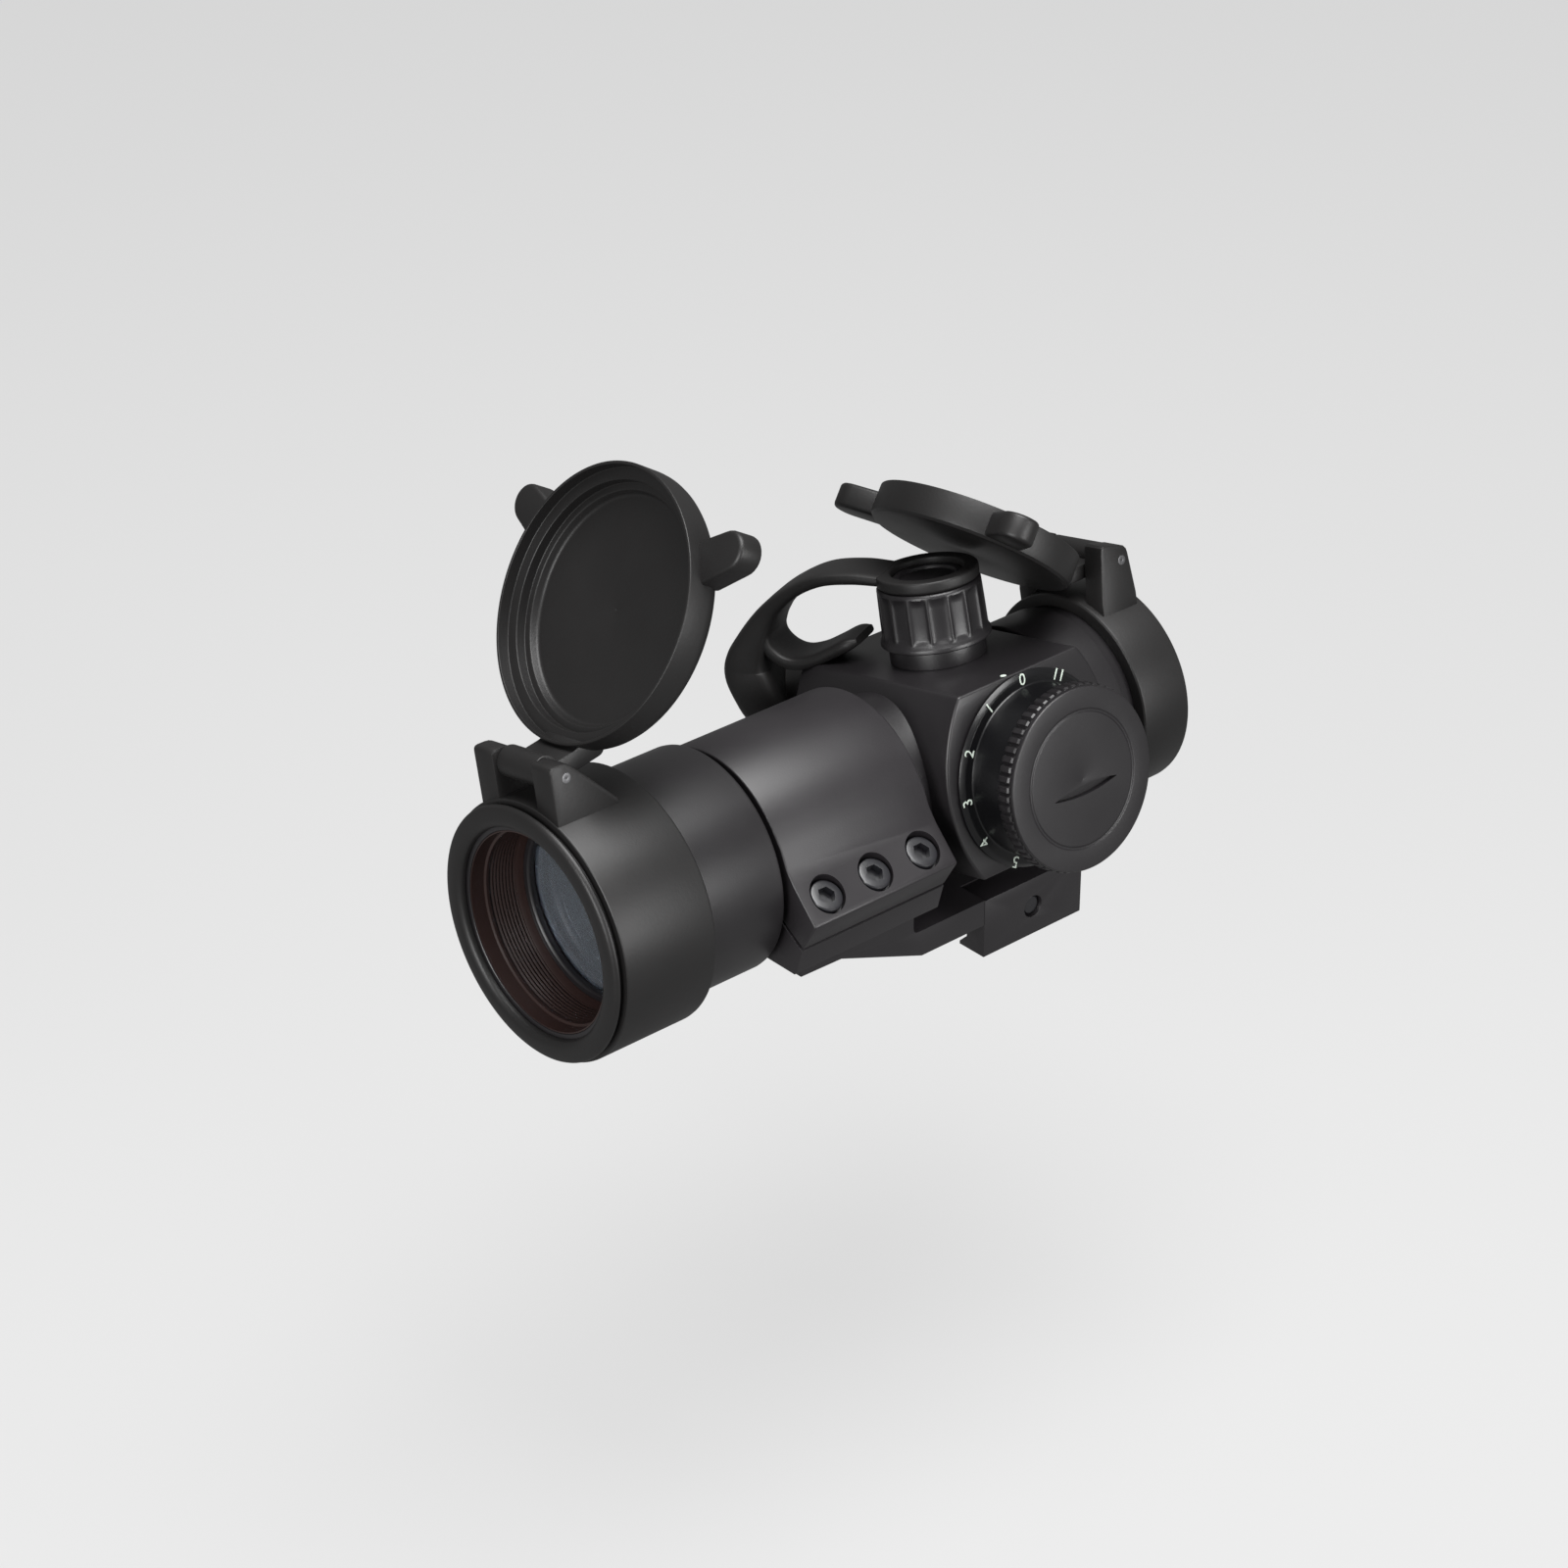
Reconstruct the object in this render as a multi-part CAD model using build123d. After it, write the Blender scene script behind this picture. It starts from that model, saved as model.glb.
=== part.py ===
from build123d import *
from math import acos, asin, cos, degrees, pi, radians, sin, sqrt
import os

# Tube sight used as a finder scope: an unmagnified 30 mm red-dot tube in a cantilever ring mount.
# Frame: +X looks forward along the tube, +Y is the dial side, +Z is up.
# The origin is the middle of the flat face that sits on top of the rail.
os.makedirs("parts", exist_ok=True)

# ---- driving dimensions, mm and degrees ------------------------------------------------

# rail clamp and cantilever base
axis_height = 26.3           # tube axis above the rail seat
seat_length = 37.9           # flat face on the rail, along X
base_width = 30.0
base_plate = 5.0             # thickness of the plate over the rail
ramp_slope = 0.376           # rise of the cantilever's underside
rail_top_half = 7.83         # rail: half width of its flat top
rail_half = 10.6             # rail: half width at its widest
rail_flat = 1.4              # rail: height of its widest stretch
rail_clearance = 0.1
jaw_length = 23.3
jaw_thickness = 6.0
jaw_drop = 6.5               # how far the jaws reach below the rail seat
bolt_radius = 2.0
bolt_drop = 0.9              # bolt axis below the rail seat
bolt_head_radius = 6.0
bolt_head_length = 6.0
bolt_pitch = 0.7

# ring
ring_centre_x = 43.9         # ring middle, ahead of the clamp bolt
ring_length = 31.2
tube_radius = 15.0
ring_fit = 0.05              # radial running clearance round the tube
ring_wall = 3.45
flange_tilt = 33.0           # the screw face leans outwards by this from level
flange_reach = 25.2          # flange's top edge, sideways from the tube axis
flange_drop = 2.3            # flange's top edge, below the tube axis
flange_foot_y = 20.6
flange_foot_drop = 13.6
flange_fillet = 5.0
split_gap = 0.5
screw_pitch = 10.4
screw_radius = 1.75
screw_head_radius = 2.9
screw_head_height = 2.0
counterbore_radius = 3.3
counterbore_depth = 1.5
screw_inset = 4.0            # screw axis in from the flange's top edge
screw_length = 13.0

# how the tube stands in the ring, and how far the covers are open
tube_roll = 13.0
front_cover_roll = 11.5
rear_cover_roll = 13.0
front_lid_angle = 210.3
rear_lid_angle = 231.0

# main tube
shoulder_gap = 1.5           # ring's front face to the objective housing
objective_length = 36.8      # objective housing's back to the cover's lip
objective_radius = 19.6
objective_bore = 17.2
bell_bore_depth = 18.5
bore_radius = 13.0
turret_setback = 22.5        # ring's back face to the turret axes
block_half_width = 19.7      # tube axis to the dial face and to the windage face
block_top = 17.0             # tube axis to the elevation face
block_bottom = 15.6
block_flat_half = 13.6       # half length of the block's flats, along X
block_bulge = 18.8           # how far its curved walls reach from the turret axes
ocular_radius = 17.2
ocular_length = 6.5
rear_seat_radius = 16.5      # rear stretch that the rear cover sits on
rear_seat_length = 12.6
eye_bore = 14.0

# lens cell, lenses and inner tube
thread_fit = 0.05
objective_lens_radius = 16.0
objective_lens_thickness = 3.2
window_radius = 13.9
window_thickness = 2.0
inner_radius = 10.5
inner_wall = 1.0
inner_front_x = 46.0
inner_back_x = -22.0
pivot_x = 43.0
gimbal_outer = 12.4
gimbal_inner = 11.2
gimbal_length = 4.0
gimbal_pin_radius = 0.8
pin_fit = 0.05

# turret seats, adjusters and caps
seat_height = 3.0
seat_radius = 8.3
stem_radius = 5.9            # threaded stem that holds the seat in the block
spigot_radius = 6.6
spigot_height = 6.8
cap_radius = 9.0
cap_flange = 9.5
cap_flutes = 16
cap_height = 10.4
cap_boss_radius = 6.0
cap_boss_height = 1.1
adjuster_radius = 2.5
adjuster_head = 5.0
adjuster_gap = 1.2           # screw tip to the inner tube
seal_wire = 0.45

# brightness dial and battery
gasket_thickness = 0.4
dial_skirt_radius = 17.0
dial_skirt_thickness = 0.8
dial_neck_radius = 14.6
dial_rim_radius = 16.0
dial_rim_length = 3.3
dial_height = 11.4           # dial face plate to the battery cap's seat
dial_hub_radius = 11.6
pocket_radius = 12.8
pocket_depth = 5.2
detent_radius = 0.8
battery_radius = 10.0
battery_thickness = 3.2
battery_cap_radius = 15.7
battery_cap_thickness = 0.8
slot_width = 1.8
slot_length = 14.6
slot_depth = 1.3

# flip-up covers
lip_radius = 22.0
lip_bore = 17.7
lip_width = 1.0
groove_radius = 20.9
groove_width = 1.0
sleeve_radius = 22.3
sleeve_length = 20.3         # lip face to the sleeve's back edge
front_ear_inner = 5.0
front_ear_outer = 10.0
front_pin_back = 5.3         # lip face to the hinge pin
front_pin_height = 27.2
rear_sleeve_radius = 18.9
rear_sleeve_length = 10.8
rear_ear_inner = 6.2
rear_ear_outer = 10.5
rear_pin_ahead = 3.7         # cover's back face to the hinge pin
rear_pin_height = 24.4
pin_radius = 1.0
barrel_radius = 2.6
side_play = 0.1
front_lid_radius = 23.1
front_lid_cavity = 20.3
front_lid_skirt = 1.8
front_lid_depth = 5.0
rear_lid_radius = 18.0
rear_lid_cavity = 16.9
rear_spigot_radius = 16.4
rear_spigot_length = 0.9
rear_lid_depth = 5.7
tab_angle = 27.0             # thumb tabs below level when a lid is shut
tab_width = 6.5
front_tab_reach = 32.0
rear_tab_reach = 26.0
lid_floor = 1.8
lid_step = 1.4

# cap strap
strap_ring_radius = 8.8
strap_ring_hole = 6.25
strap_thickness = 2.0
strap_gap = 0.1
strap_band = 8.0

# ---- stations along the tube, worked out from the sizes above -------------------------

overrun = 1.0                # how far a cutting tool runs past what it cuts
ring_back_x = ring_centre_x - ring_length / 2
ring_front_x = ring_centre_x + ring_length / 2
shoulder_x = ring_front_x + shoulder_gap
lip_x = shoulder_x + objective_length
bell_front_x = lip_x - lip_width - groove_width / 2
turret_x = ring_back_x - turret_setback
ocular_x = turret_x - block_bulge
seat_step_x = ocular_x - ocular_length
tube_end_x = seat_step_x - rear_seat_length
rear_cover_back_x = tube_end_x - 0.6
rear_cover_front_x = rear_cover_back_x + rear_sleeve_length
bell_floor_x = lip_x - bell_bore_depth
seat_back_x = -jaw_length / 2
seat_front_x = seat_back_x + seat_length
ring_outer = tube_radius + ring_fit + ring_wall
front_pin_x = lip_x - front_pin_back
rear_pin_x = rear_cover_back_x + rear_pin_ahead


# ---- small shop of shapes ------------------------------------------------------------

def rod(axis, radius, start, end, across=0.0, up=0.0):
    """Round bar along an axis, from start to end."""
    bar = Cylinder(radius, abs(end - start))
    middle = (start + end) / 2
    if axis == "x":
        return Pos(middle, across, up) * Rot(0, 90, 0) * bar
    if axis == "y":
        return Pos(across, middle, up) * Rot(90, 0, 0) * bar
    return Pos(across, up, middle) * bar


def pipe(axis, outer, inner, start, end, across=0.0, up=0.0):
    """Round tube along an axis."""
    wall = rod(axis, outer, start, end, across, up)
    low = min(start, end) - overrun
    high = max(start, end) + overrun
    return wall - rod(axis, inner, low, high, across, up)


def brick(x0, x1, y0, y1, z0, z1):
    """Box between two corners."""
    middle = Pos((x0 + x1) / 2, (y0 + y1) / 2, (z0 + z1) / 2)
    return middle * Box(abs(x1 - x0), abs(y1 - y0), abs(z1 - z0))


def turned(outline):
    """Solid of revolution about X from (x, radius) corners."""
    face = make_face(Polyline([(x, r) for x, r in outline], close=True))
    return revolve(face, Axis.X)


def turned_up(outline):
    """Solid of revolution about Z from (radius, z) corners."""
    face = make_face(Polyline([(r, 0, z) for r, z in outline], close=True))
    return revolve(face, Axis.Z)


def plate(outline, y0, y1):
    """Side-view outline of (x, z) corners, y0 to y1 thick."""
    face = make_face(Polyline([(x, y0, z) for x, z in outline], close=True))
    return extrude(face, y1 - y0, dir=(0, 1, 0))


def ring_seal(radius, wire):
    """O-ring lying flat round Z."""
    return Torus(radius, wire)


def in_ring(shape, roll=tube_roll):
    """From the tube's own frame, axis on X, to the part's frame."""
    return Pos(0, 0, axis_height) * Rot(roll, 0, 0) * shape


nodes = {}


# ---- mount: cantilever base, ring cap, screws, clamp -----------------------------------

screw_out = (0, sin(radians(flange_tilt)), cos(radians(flange_tilt)))
screw_in = (cos(radians(flange_tilt)), -sin(radians(flange_tilt)))


def ring_profile():
    """Ring with its screw flange, seen along the tube, axis at (0, 0)."""
    along = ring_outer * 0.7
    inner_y = flange_reach - along * screw_in[0]
    inner_z = -flange_drop - along * screw_in[1]
    ear = make_face(Polyline([
        (inner_y, inner_z),
        (flange_reach, -flange_drop),
        (flange_foot_y + 1.5, -(flange_foot_drop + flange_drop) / 2),
        (flange_foot_y, -flange_foot_drop),
        (ring_outer * 0.6, -flange_foot_drop),
    ], close=True))
    lug = Pos(-ring_outer, 0) * Rectangle(6.0, 9.0)
    profile = Circle(ring_outer) + ear
    meeting = [v for v in profile.vertices() if v.Y > 0.5 and v.X > ring_outer * 0.9 and v.X < ring_outer]
    profile = fillet(meeting, flange_fillet)
    return profile + lug


def ring_blank():
    face = Plane.YZ * ring_profile()
    blank = Pos(ring_back_x, 0, 0) * extrude(face, ring_length)
    blank = chamfer(blank.edges().filter_by(GeomType.CIRCLE).group_by(Axis.X)[-1], 0.5)
    return blank


def cap_side(shift):
    """Everything on the cap's side of the split, moved along the screws by shift."""
    split_y = flange_foot_y + 1.5
    split_z = -(flange_foot_drop + flange_drop) / 2
    reach = 3 * ring_outer
    near = (split_y + reach * screw_in[0], split_z + reach * screw_in[1])
    inside = (split_y - (split_y - tube_radius * 0.6), split_z + (split_y - tube_radius * 0.6) * 0.649)
    face = make_face(Polyline([
        (-reach, shift), (0, shift), (inside[0], inside[1] + shift),
        (near[0], near[1] + shift), (reach, reach), (-reach, reach),
    ], close=True))
    start = ring_back_x - overrun
    return Pos(start, 0, 0) * extrude(Plane.YZ * face, ring_length + 2 * overrun)


def screw_place(index):
    """Where a ring screw's head seat is, and its turn."""
    x = ring_centre_x + (index - 1) * screw_pitch
    y = flange_reach - screw_inset * screw_in[0]
    z = -flange_drop - screw_inset * screw_in[1]
    return Pos(x, y, z) * Rot(-flange_tilt, 0, 0)


def screw_hole(index, radius):
    place = screw_place(index)
    hole = Pos(0, 0, -screw_length / 2) * Cylinder(radius, screw_length + overrun)
    return place * hole


def rail_void():
    """Space of the rail and its bevels, with clearance."""
    top = rail_top_half + rail_clearance
    wide = rail_half + rail_clearance
    bevel = rail_half - rail_top_half
    foot = jaw_drop - bevel - rail_flat
    outline = [
        (-top, 0), (-wide, -bevel), (-wide, -bevel - rail_flat), (-wide + foot, -jaw_drop),
        (-wide + foot, -jaw_drop - overrun), (wide - foot, -jaw_drop - overrun),
        (wide - foot, -jaw_drop), (wide, -bevel - rail_flat), (wide, -bevel), (top, 0),
    ]
    face = Plane.YZ * make_face(Polyline(outline, close=True))
    return Pos(-seat_length, 0, 0) * extrude(face, 3 * seat_length)


def make_base():
    half = base_width / 2
    back = seat_back_x
    ring_foot = axis_height - ring_outer
    ramp_top_x = seat_front_x + ring_foot / ramp_slope
    cradle_top = axis_height - tube_radius * 0.7
    beam = plate([
        (back, 0), (seat_front_x, 0), (ramp_top_x, ring_foot), (ring_front_x - 6.0, ring_foot),
        (ring_front_x - 6.0, cradle_top), (ring_back_x, cradle_top), (ring_back_x, base_plate),
        (back, base_plate),
    ], -half, half)
    fixed_jaw = brick(back, back + jaw_length, -half, -half + jaw_thickness + 2.0, -jaw_drop, overrun)
    lower_ring = Pos(0, 0, axis_height) * (ring_blank() - cap_side(-split_gap))
    base = beam + fixed_jaw + lower_ring
    tip = Pos(0, 0, axis_height) * brick(
        ring_back_x, ring_front_x, -ring_outer - 1.6, -ring_outer - 0.4, -2.0, overrun)
    base = base - tip
    base = base - Pos(0, 0, axis_height) * rod(
        "x", tube_radius + ring_fit, ring_back_x - overrun, ring_front_x + overrun)
    base = base - rail_void()
    base = base - brick(back - overrun, back + jaw_length + side_play, half - jaw_thickness - side_play,
                        half + overrun, -jaw_drop - overrun, base_plate + overrun)
    base = base - rod("y", bolt_radius + pin_fit, -half - overrun, half, 0, -bolt_drop)
    groove_half = bolt_radius + pin_fit
    base = base - brick(-groove_half, groove_half, -rail_top_half - rail_clearance, half, -bolt_drop,
                        groove_half - bolt_drop)
    for index in range(3):
        base = base - Pos(0, 0, axis_height) * screw_hole(index, screw_radius)
    return base


def make_ring_cap():
    cap = (ring_blank() & cap_side(0)) - rod(
        "x", tube_radius + ring_fit, ring_back_x - overrun, ring_front_x + overrun)
    hook = brick(ring_back_x + 0.2, ring_front_x - 0.2, -ring_outer - 1.5, -ring_outer - 0.5, -1.9, overrun)
    cap = cap + hook
    for index in range(3):
        sink = Pos(0, 0, 5.0 - counterbore_depth) * Cylinder(counterbore_radius, 10.0)
        cap = cap - screw_place(index) * sink
        cap = cap - screw_hole(index, screw_radius + 0.1)
    return Pos(0, 0, axis_height) * cap


def make_ring_screws():
    """Three socket-head screws, one group."""
    group = []
    for index in range(3):
        head_low = -counterbore_depth
        shank = Pos(0, 0, head_low - (screw_length - 4.0) / 2) * Cylinder(screw_radius - 0.02, screw_length - 4.0)
        head = Pos(0, 0, head_low + screw_head_height / 2) * Cylinder(screw_head_radius, screw_head_height)
        head = chamfer(head.edges().group_by(Axis.Z)[-1], 0.4)
        socket = Pos(0, 0, head_low + screw_head_height) * extrude(RegularPolygon(1.55, 6), -1.3)
        screw = head + shank - socket
        group.append(Pos(0, 0, axis_height) * screw_place(index) * screw)
    return Compound(children=group)


def make_jaw():
    half = base_width / 2
    back = seat_back_x
    jaw = brick(back, back + jaw_length, half - jaw_thickness, half, -jaw_drop, base_plate - 0.2)
    jaw = jaw - rail_void()
    jaw = chamfer(jaw.edges().filter_by(Axis.X).sort_by(Axis.Y)[-2:], 0.5)
    return jaw - rod("y", bolt_radius + pin_fit, 0, half + overrun, 0, -bolt_drop)


def make_bolt():
    half = base_width / 2
    washer = 0.8
    seat_y = -half - washer - pin_fit
    bolt = rod("y", bolt_radius, seat_y, half - 0.5, 0, -bolt_drop)
    bolt = bolt + rod("y", bolt_head_radius, seat_y - bolt_head_length, seat_y, 0, -bolt_drop)
    slot = brick(-0.8, 0.8, seat_y - bolt_head_length - overrun,
                 seat_y - bolt_head_length + 1.5, -20.0, 20.0)
    return bolt - slot


def make_washer():
    half = base_width / 2
    return pipe("y", 4.6, bolt_radius + pin_fit, -half - 0.8, -half, 0, -bolt_drop)


def make_clamp_spring():
    """Small coil spring round the bolt that opens the jaw, drawn as closed turns."""
    low = base_width / 2 - jaw_thickness - side_play
    spring = None
    turns = 3
    wire = 0.3
    for turn in range(turns):
        coil = Pos(0, low - 1.2 - turn * 1.7 * wire, -bolt_drop) * Rot(90, 0, 0)
        coil = coil * Torus(bolt_radius + 0.2 + wire, wire)
        spring = coil if spring is None else spring + coil
    return spring


nodes["mount_base"] = make_base()
spring_bay = rod("y", bolt_radius + 1.0, base_width / 2 - jaw_thickness - side_play - 3.0,
                 base_width / 2, 0, -bolt_drop)
nodes["mount_base"] = nodes["mount_base"] - spring_bay
nodes["ring_cap"] = make_ring_cap()
nodes["ring_screws"] = make_ring_screws()
nodes["clamp_jaw"] = make_jaw()
nodes["clamp_bolt"] = make_bolt()
nodes["clamp_washer"] = make_washer()
nodes["clamp_spring"] = make_clamp_spring()


# ---- main tube -------------------------------------------------------------------------

def turret_block(inset=0.0):
    """Block that carries the turrets: flats above and below, walls bowed fore and aft."""
    flat = block_flat_half - inset
    top = block_top - inset
    low = -block_bottom + inset
    bow = block_bulge - inset
    outline = Line((-flat, top), (flat, top)) + ThreePointArc((flat, top), (bow, (top + low) / 2), (flat, low))
    outline = outline + Line((flat, low), (-flat, low))
    outline = outline + ThreePointArc((-flat, low), (-bow, (top + low) / 2), (-flat, top))
    face = make_face(Plane.XZ * outline)
    block = extrude(face, block_half_width, dir=(0, 1, 0)) + extrude(face, block_half_width, dir=(0, -1, 0))
    return Pos(turret_x, 0, 0) * block


def make_main_tube():
    body = turned([
        (tube_end_x, 0), (tube_end_x, rear_seat_radius), (seat_step_x, rear_seat_radius),
        (seat_step_x, ocular_radius - 0.4), (seat_step_x + 0.4, ocular_radius),
        (ocular_x + 4.0, ocular_radius), (ocular_x + 4.0, tube_radius),
        (shoulder_x, tube_radius), (shoulder_x, objective_radius - 0.6),
        (shoulder_x + 0.6, objective_radius), (bell_front_x, objective_radius), (bell_front_x, 0),
    ])
    body = body + turret_block()
    body = body - rod("x", bore_radius, tube_end_x - 1, bell_front_x + 1)
    body = body - rod("x", objective_bore, bell_floor_x, bell_front_x + 1)
    body = body - rod("x", eye_bore, tube_end_x - 1, tube_end_x + 6.5)
    body = body - rod("y", pocket_radius, block_half_width - pocket_depth, block_half_width + 1, turret_x, 0)
    body = body - rod("y", 1.0, 0, block_half_width, turret_x + 8.0, 0)
    body = body - rod("z", stem_radius + thread_fit, 0, block_top + 1, turret_x, 0)
    body = body - rod("y", stem_radius + thread_fit, -block_half_width - 1, 0, turret_x, 0)
    body = body - rod("y", detent_radius + 0.1, block_half_width - 4.5, block_half_width + 1, turret_x, -14.4)
    pin_hole = gimbal_pin_radius + pin_fit
    return body - rod("y", pin_hole, -tube_radius + 0.4, tube_radius - 0.4, pivot_x, 0)


nodes["main_tube"] = in_ring(make_main_tube())


# ---- objective and eyepiece optics -----------------------------------------------------

cell_outer = objective_bore - thread_fit
cell_back_x = bell_floor_x + 1.1
lens_back_x = cell_back_x + 1.2
lens_front_x = lens_back_x + objective_lens_thickness


def make_objective_cell():
    """Threaded lens cell with stepped light baffles down its bore."""
    bore = objective_lens_radius + 0.1
    front = bell_front_x - 0.2
    steps = [(cell_back_x, cell_outer), (front, cell_outer), (front, objective_bore - 0.5)]
    x = front
    depth = (front - lens_front_x - 4.0) / 4
    for step in range(4):
        radius = objective_bore - 0.5 - 0.15 * step
        steps = steps + [(x - depth + 0.6, radius), (x - depth + 0.3, radius - 0.45),
                         (x - depth, radius - 0.45)]
        x = x - depth
    steps = steps + [(x, bore), (lens_back_x, bore), (lens_back_x, bore - 1.3),
                     (cell_back_x, bore - 1.3)]
    return turned(steps)


def make_lens(radius, back, front, bulge):
    """Lens with a domed front face and a ground edge."""
    edge = front - bulge
    dome_radius = (radius * radius + bulge * bulge) / (2 * bulge)
    half_turn = asin(radius / dome_radius)
    middle = (front - dome_radius + dome_radius * cos(half_turn / 2), dome_radius * sin(half_turn / 2))
    outline = Line((back, 0), (back, radius)) + Line((back, radius), (edge, radius))
    outline = outline + ThreePointArc((edge, radius), middle, (front, 0)) + Line((front, 0), (back, 0))
    return revolve(make_face(outline), Axis.X)


nodes["objective_cell"] = in_ring(make_objective_cell())
nodes["objective_lens"] = in_ring(make_lens(objective_lens_radius, lens_back_x + 0.05, lens_front_x, 1.0))
nodes["objective_retaining_ring"] = in_ring(pipe(
    "x", objective_lens_radius + 0.05, objective_lens_radius - 1.2, lens_front_x + 0.1, lens_front_x + 2.6))
nodes["objective_seal"] = in_ring(Pos(bell_floor_x + 0.55, 0, 0) * Rot(0, 90, 0) * ring_seal(15.5, 0.48))

window_back_x = tube_end_x + 3.4
window_front_x = window_back_x + window_thickness
nodes["eyepiece_window"] = in_ring(rod("x", window_radius, window_back_x, window_front_x))
nodes["eyepiece_ring"] = in_ring(pipe("x", eye_bore - thread_fit, eye_bore - 1.7, tube_end_x + 0.3,
                                      window_back_x - 0.05))
nodes["eyepiece_seal"] = in_ring(Pos(tube_end_x + 5.9, 0, 0) * Rot(0, 90, 0) * ring_seal(13.35, 0.48))


# ---- inner tube on its gimbal ----------------------------------------------------------

def make_inner_tube():
    body = pipe("x", inner_radius, inner_radius - inner_wall, inner_back_x, inner_front_x)
    return body - rod("z", gimbal_pin_radius + pin_fit, -inner_radius - 1, inner_radius + 1, pivot_x, 0)


def make_gimbal_ring():
    """Ring with two pins outwards along Y and two pins inwards along Z."""
    half = gimbal_length / 2
    ring = pipe("x", gimbal_outer, gimbal_inner, pivot_x - half, pivot_x + half)
    outward = rod("y", gimbal_pin_radius, -tube_radius + 0.6, tube_radius - 0.6, pivot_x, 0)
    outward = outward - rod("x", gimbal_inner, pivot_x - half, pivot_x + half)
    inward = rod("z", gimbal_pin_radius, -gimbal_outer + 0.3, gimbal_outer - 0.3, pivot_x, 0)
    inward = inward - rod("x", inner_radius - inner_wall + 0.3, pivot_x - half, pivot_x + half)
    return ring + outward + inward


nodes["inner_tube"] = in_ring(make_inner_tube())
nodes["gimbal_ring"] = in_ring(make_gimbal_ring())
collimator_x = inner_front_x - 7.5
nodes["collimating_mirror"] = in_ring(make_lens(inner_radius - inner_wall, collimator_x, collimator_x + 2.4, 0.6))
emitter = brick(inner_back_x + 3.0, inner_back_x + 7.0, -2.5, 2.5, -12.0, -6.2)
emitter = emitter & rod("x", inner_radius - inner_wall, inner_back_x, inner_front_x)
nodes["dot_emitter"] = in_ring(emitter + rod("x", 0.9, inner_back_x + 7.0, inner_back_x + 8.2, 0, -7.6))
leaf = pipe("x", bore_radius, bore_radius - 0.8, turret_x - 3.5, turret_x + 3.5)
leaf = leaf & brick(turret_x - 4, turret_x + 4, 4.0, 13.0, -13.0, -4.0)
nodes["inner_tube_spring"] = in_ring(leaf)


# ---- elevation and windage turrets, drawn pointing up ----------------------------------

cap_low = seat_height + 0.1
spigot_top = seat_height + spigot_height
cap_top = cap_low + cap_height - 0.1


def make_seat(face):
    """Threaded seat: stem in the block, flange on it, spigot for the cap."""
    low = bore_radius + 0.6 - face
    return turned_up([
        (adjuster_radius + pin_fit, low), (stem_radius, low), (stem_radius, 0), (seat_radius, 0),
        (seat_radius, seat_height), (spigot_radius, seat_height), (spigot_radius, spigot_top),
        (adjuster_head + 0.3, spigot_top), (adjuster_head + 0.3, seat_height + 2.4),
        (adjuster_radius + pin_fit, seat_height + 2.4),
    ])


def make_adjuster(face):
    """Adjusting screw with a coin slot across its head."""
    tip = inner_radius + adjuster_gap - face
    head = seat_height + 2.5
    screw = turned_up([
        (0, tip), (adjuster_radius - 0.8, tip), (adjuster_radius, tip + 0.8), (adjuster_radius, head),
        (adjuster_head, head), (adjuster_head, head + 2.6), (adjuster_head - 0.4, head + 3.0), (0, head + 3.0),
    ])
    return screw - brick(-0.6, 0.6, -8, 8, head + 1.6, head + 4)


def make_cap():
    """Screw cap with grip flutes, closed at the top with a small boss."""
    bore = spigot_radius + thread_fit
    top = cap_top
    cap = turned_up([
        (bore, cap_low), (cap_flange, cap_low), (cap_flange, cap_low + 0.8),
        (cap_radius + 0.1, cap_low + 1.4), (cap_radius - 0.1, top - 0.4), (cap_radius - 0.5, top),
        (cap_boss_radius, top), (cap_boss_radius, top + cap_boss_height), (cap_boss_radius - 1.2, top + 1.1),
        (cap_boss_radius - 1.2, top + 0.5), (0, top + 0.5), (0, spigot_top + 0.6), (bore, spigot_top + 0.6),
    ])
    for flute in range(cap_flutes):
        turn = Rot(0, 0, 360 / cap_flutes * flute) * Pos(cap_radius + 1.15, 0, (cap_low + 1.6 + top - 1.2) / 2)
        cap = cap - turn * Cylinder(1.6, top - cap_low - 2.8)
    return cap - Pos(0, 0, cap_low + 0.6) * ring_seal(bore + 0.25, seal_wire + 0.02)


elevation_place = Pos(turret_x, 0, block_top)
windage_place = Pos(turret_x, -block_half_width, 0) * Rot(90, 0, 0)
cap_shape = make_cap()
for name, place, face in [
    ("elevation", elevation_place, block_top), ("windage", windage_place, block_half_width),
]:
    nodes[name + "_seat"] = in_ring(place * (make_seat(face) - Pos(0, 0, cap_low + 0.6) * ring_seal(
        spigot_radius + 0.3, seal_wire + 0.02)))
    nodes[name + "_adjuster"] = in_ring(place * make_adjuster(face))
    nodes[name + "_cap"] = in_ring(place * cap_shape)
    nodes[name + "_cap_seal"] = in_ring(place * Pos(0, 0, cap_low + 0.6) * ring_seal(
        spigot_radius + 0.28, seal_wire))


# ---- brightness dial and battery, drawn along the tube's Y -----------------------------

plate_face = block_half_width + gasket_thickness
dial_low = plate_face + 0.1
dial_skirt_top = dial_low + dial_skirt_thickness
dial_top = plate_face + dial_height - gasket_thickness
rim_low = dial_top - dial_rim_length
battery_floor = dial_top - 5.4
cap_face = dial_top + battery_cap_thickness
cap_foot = battery_floor + 0.2 + battery_thickness + 0.4


def dial_turned(outline):
    """Solid of revolution about the dial's axis from (radius, y) corners."""
    return Pos(turret_x, 0, 0) * Rot(-90, 0, 0) * turned_up(outline)


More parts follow.
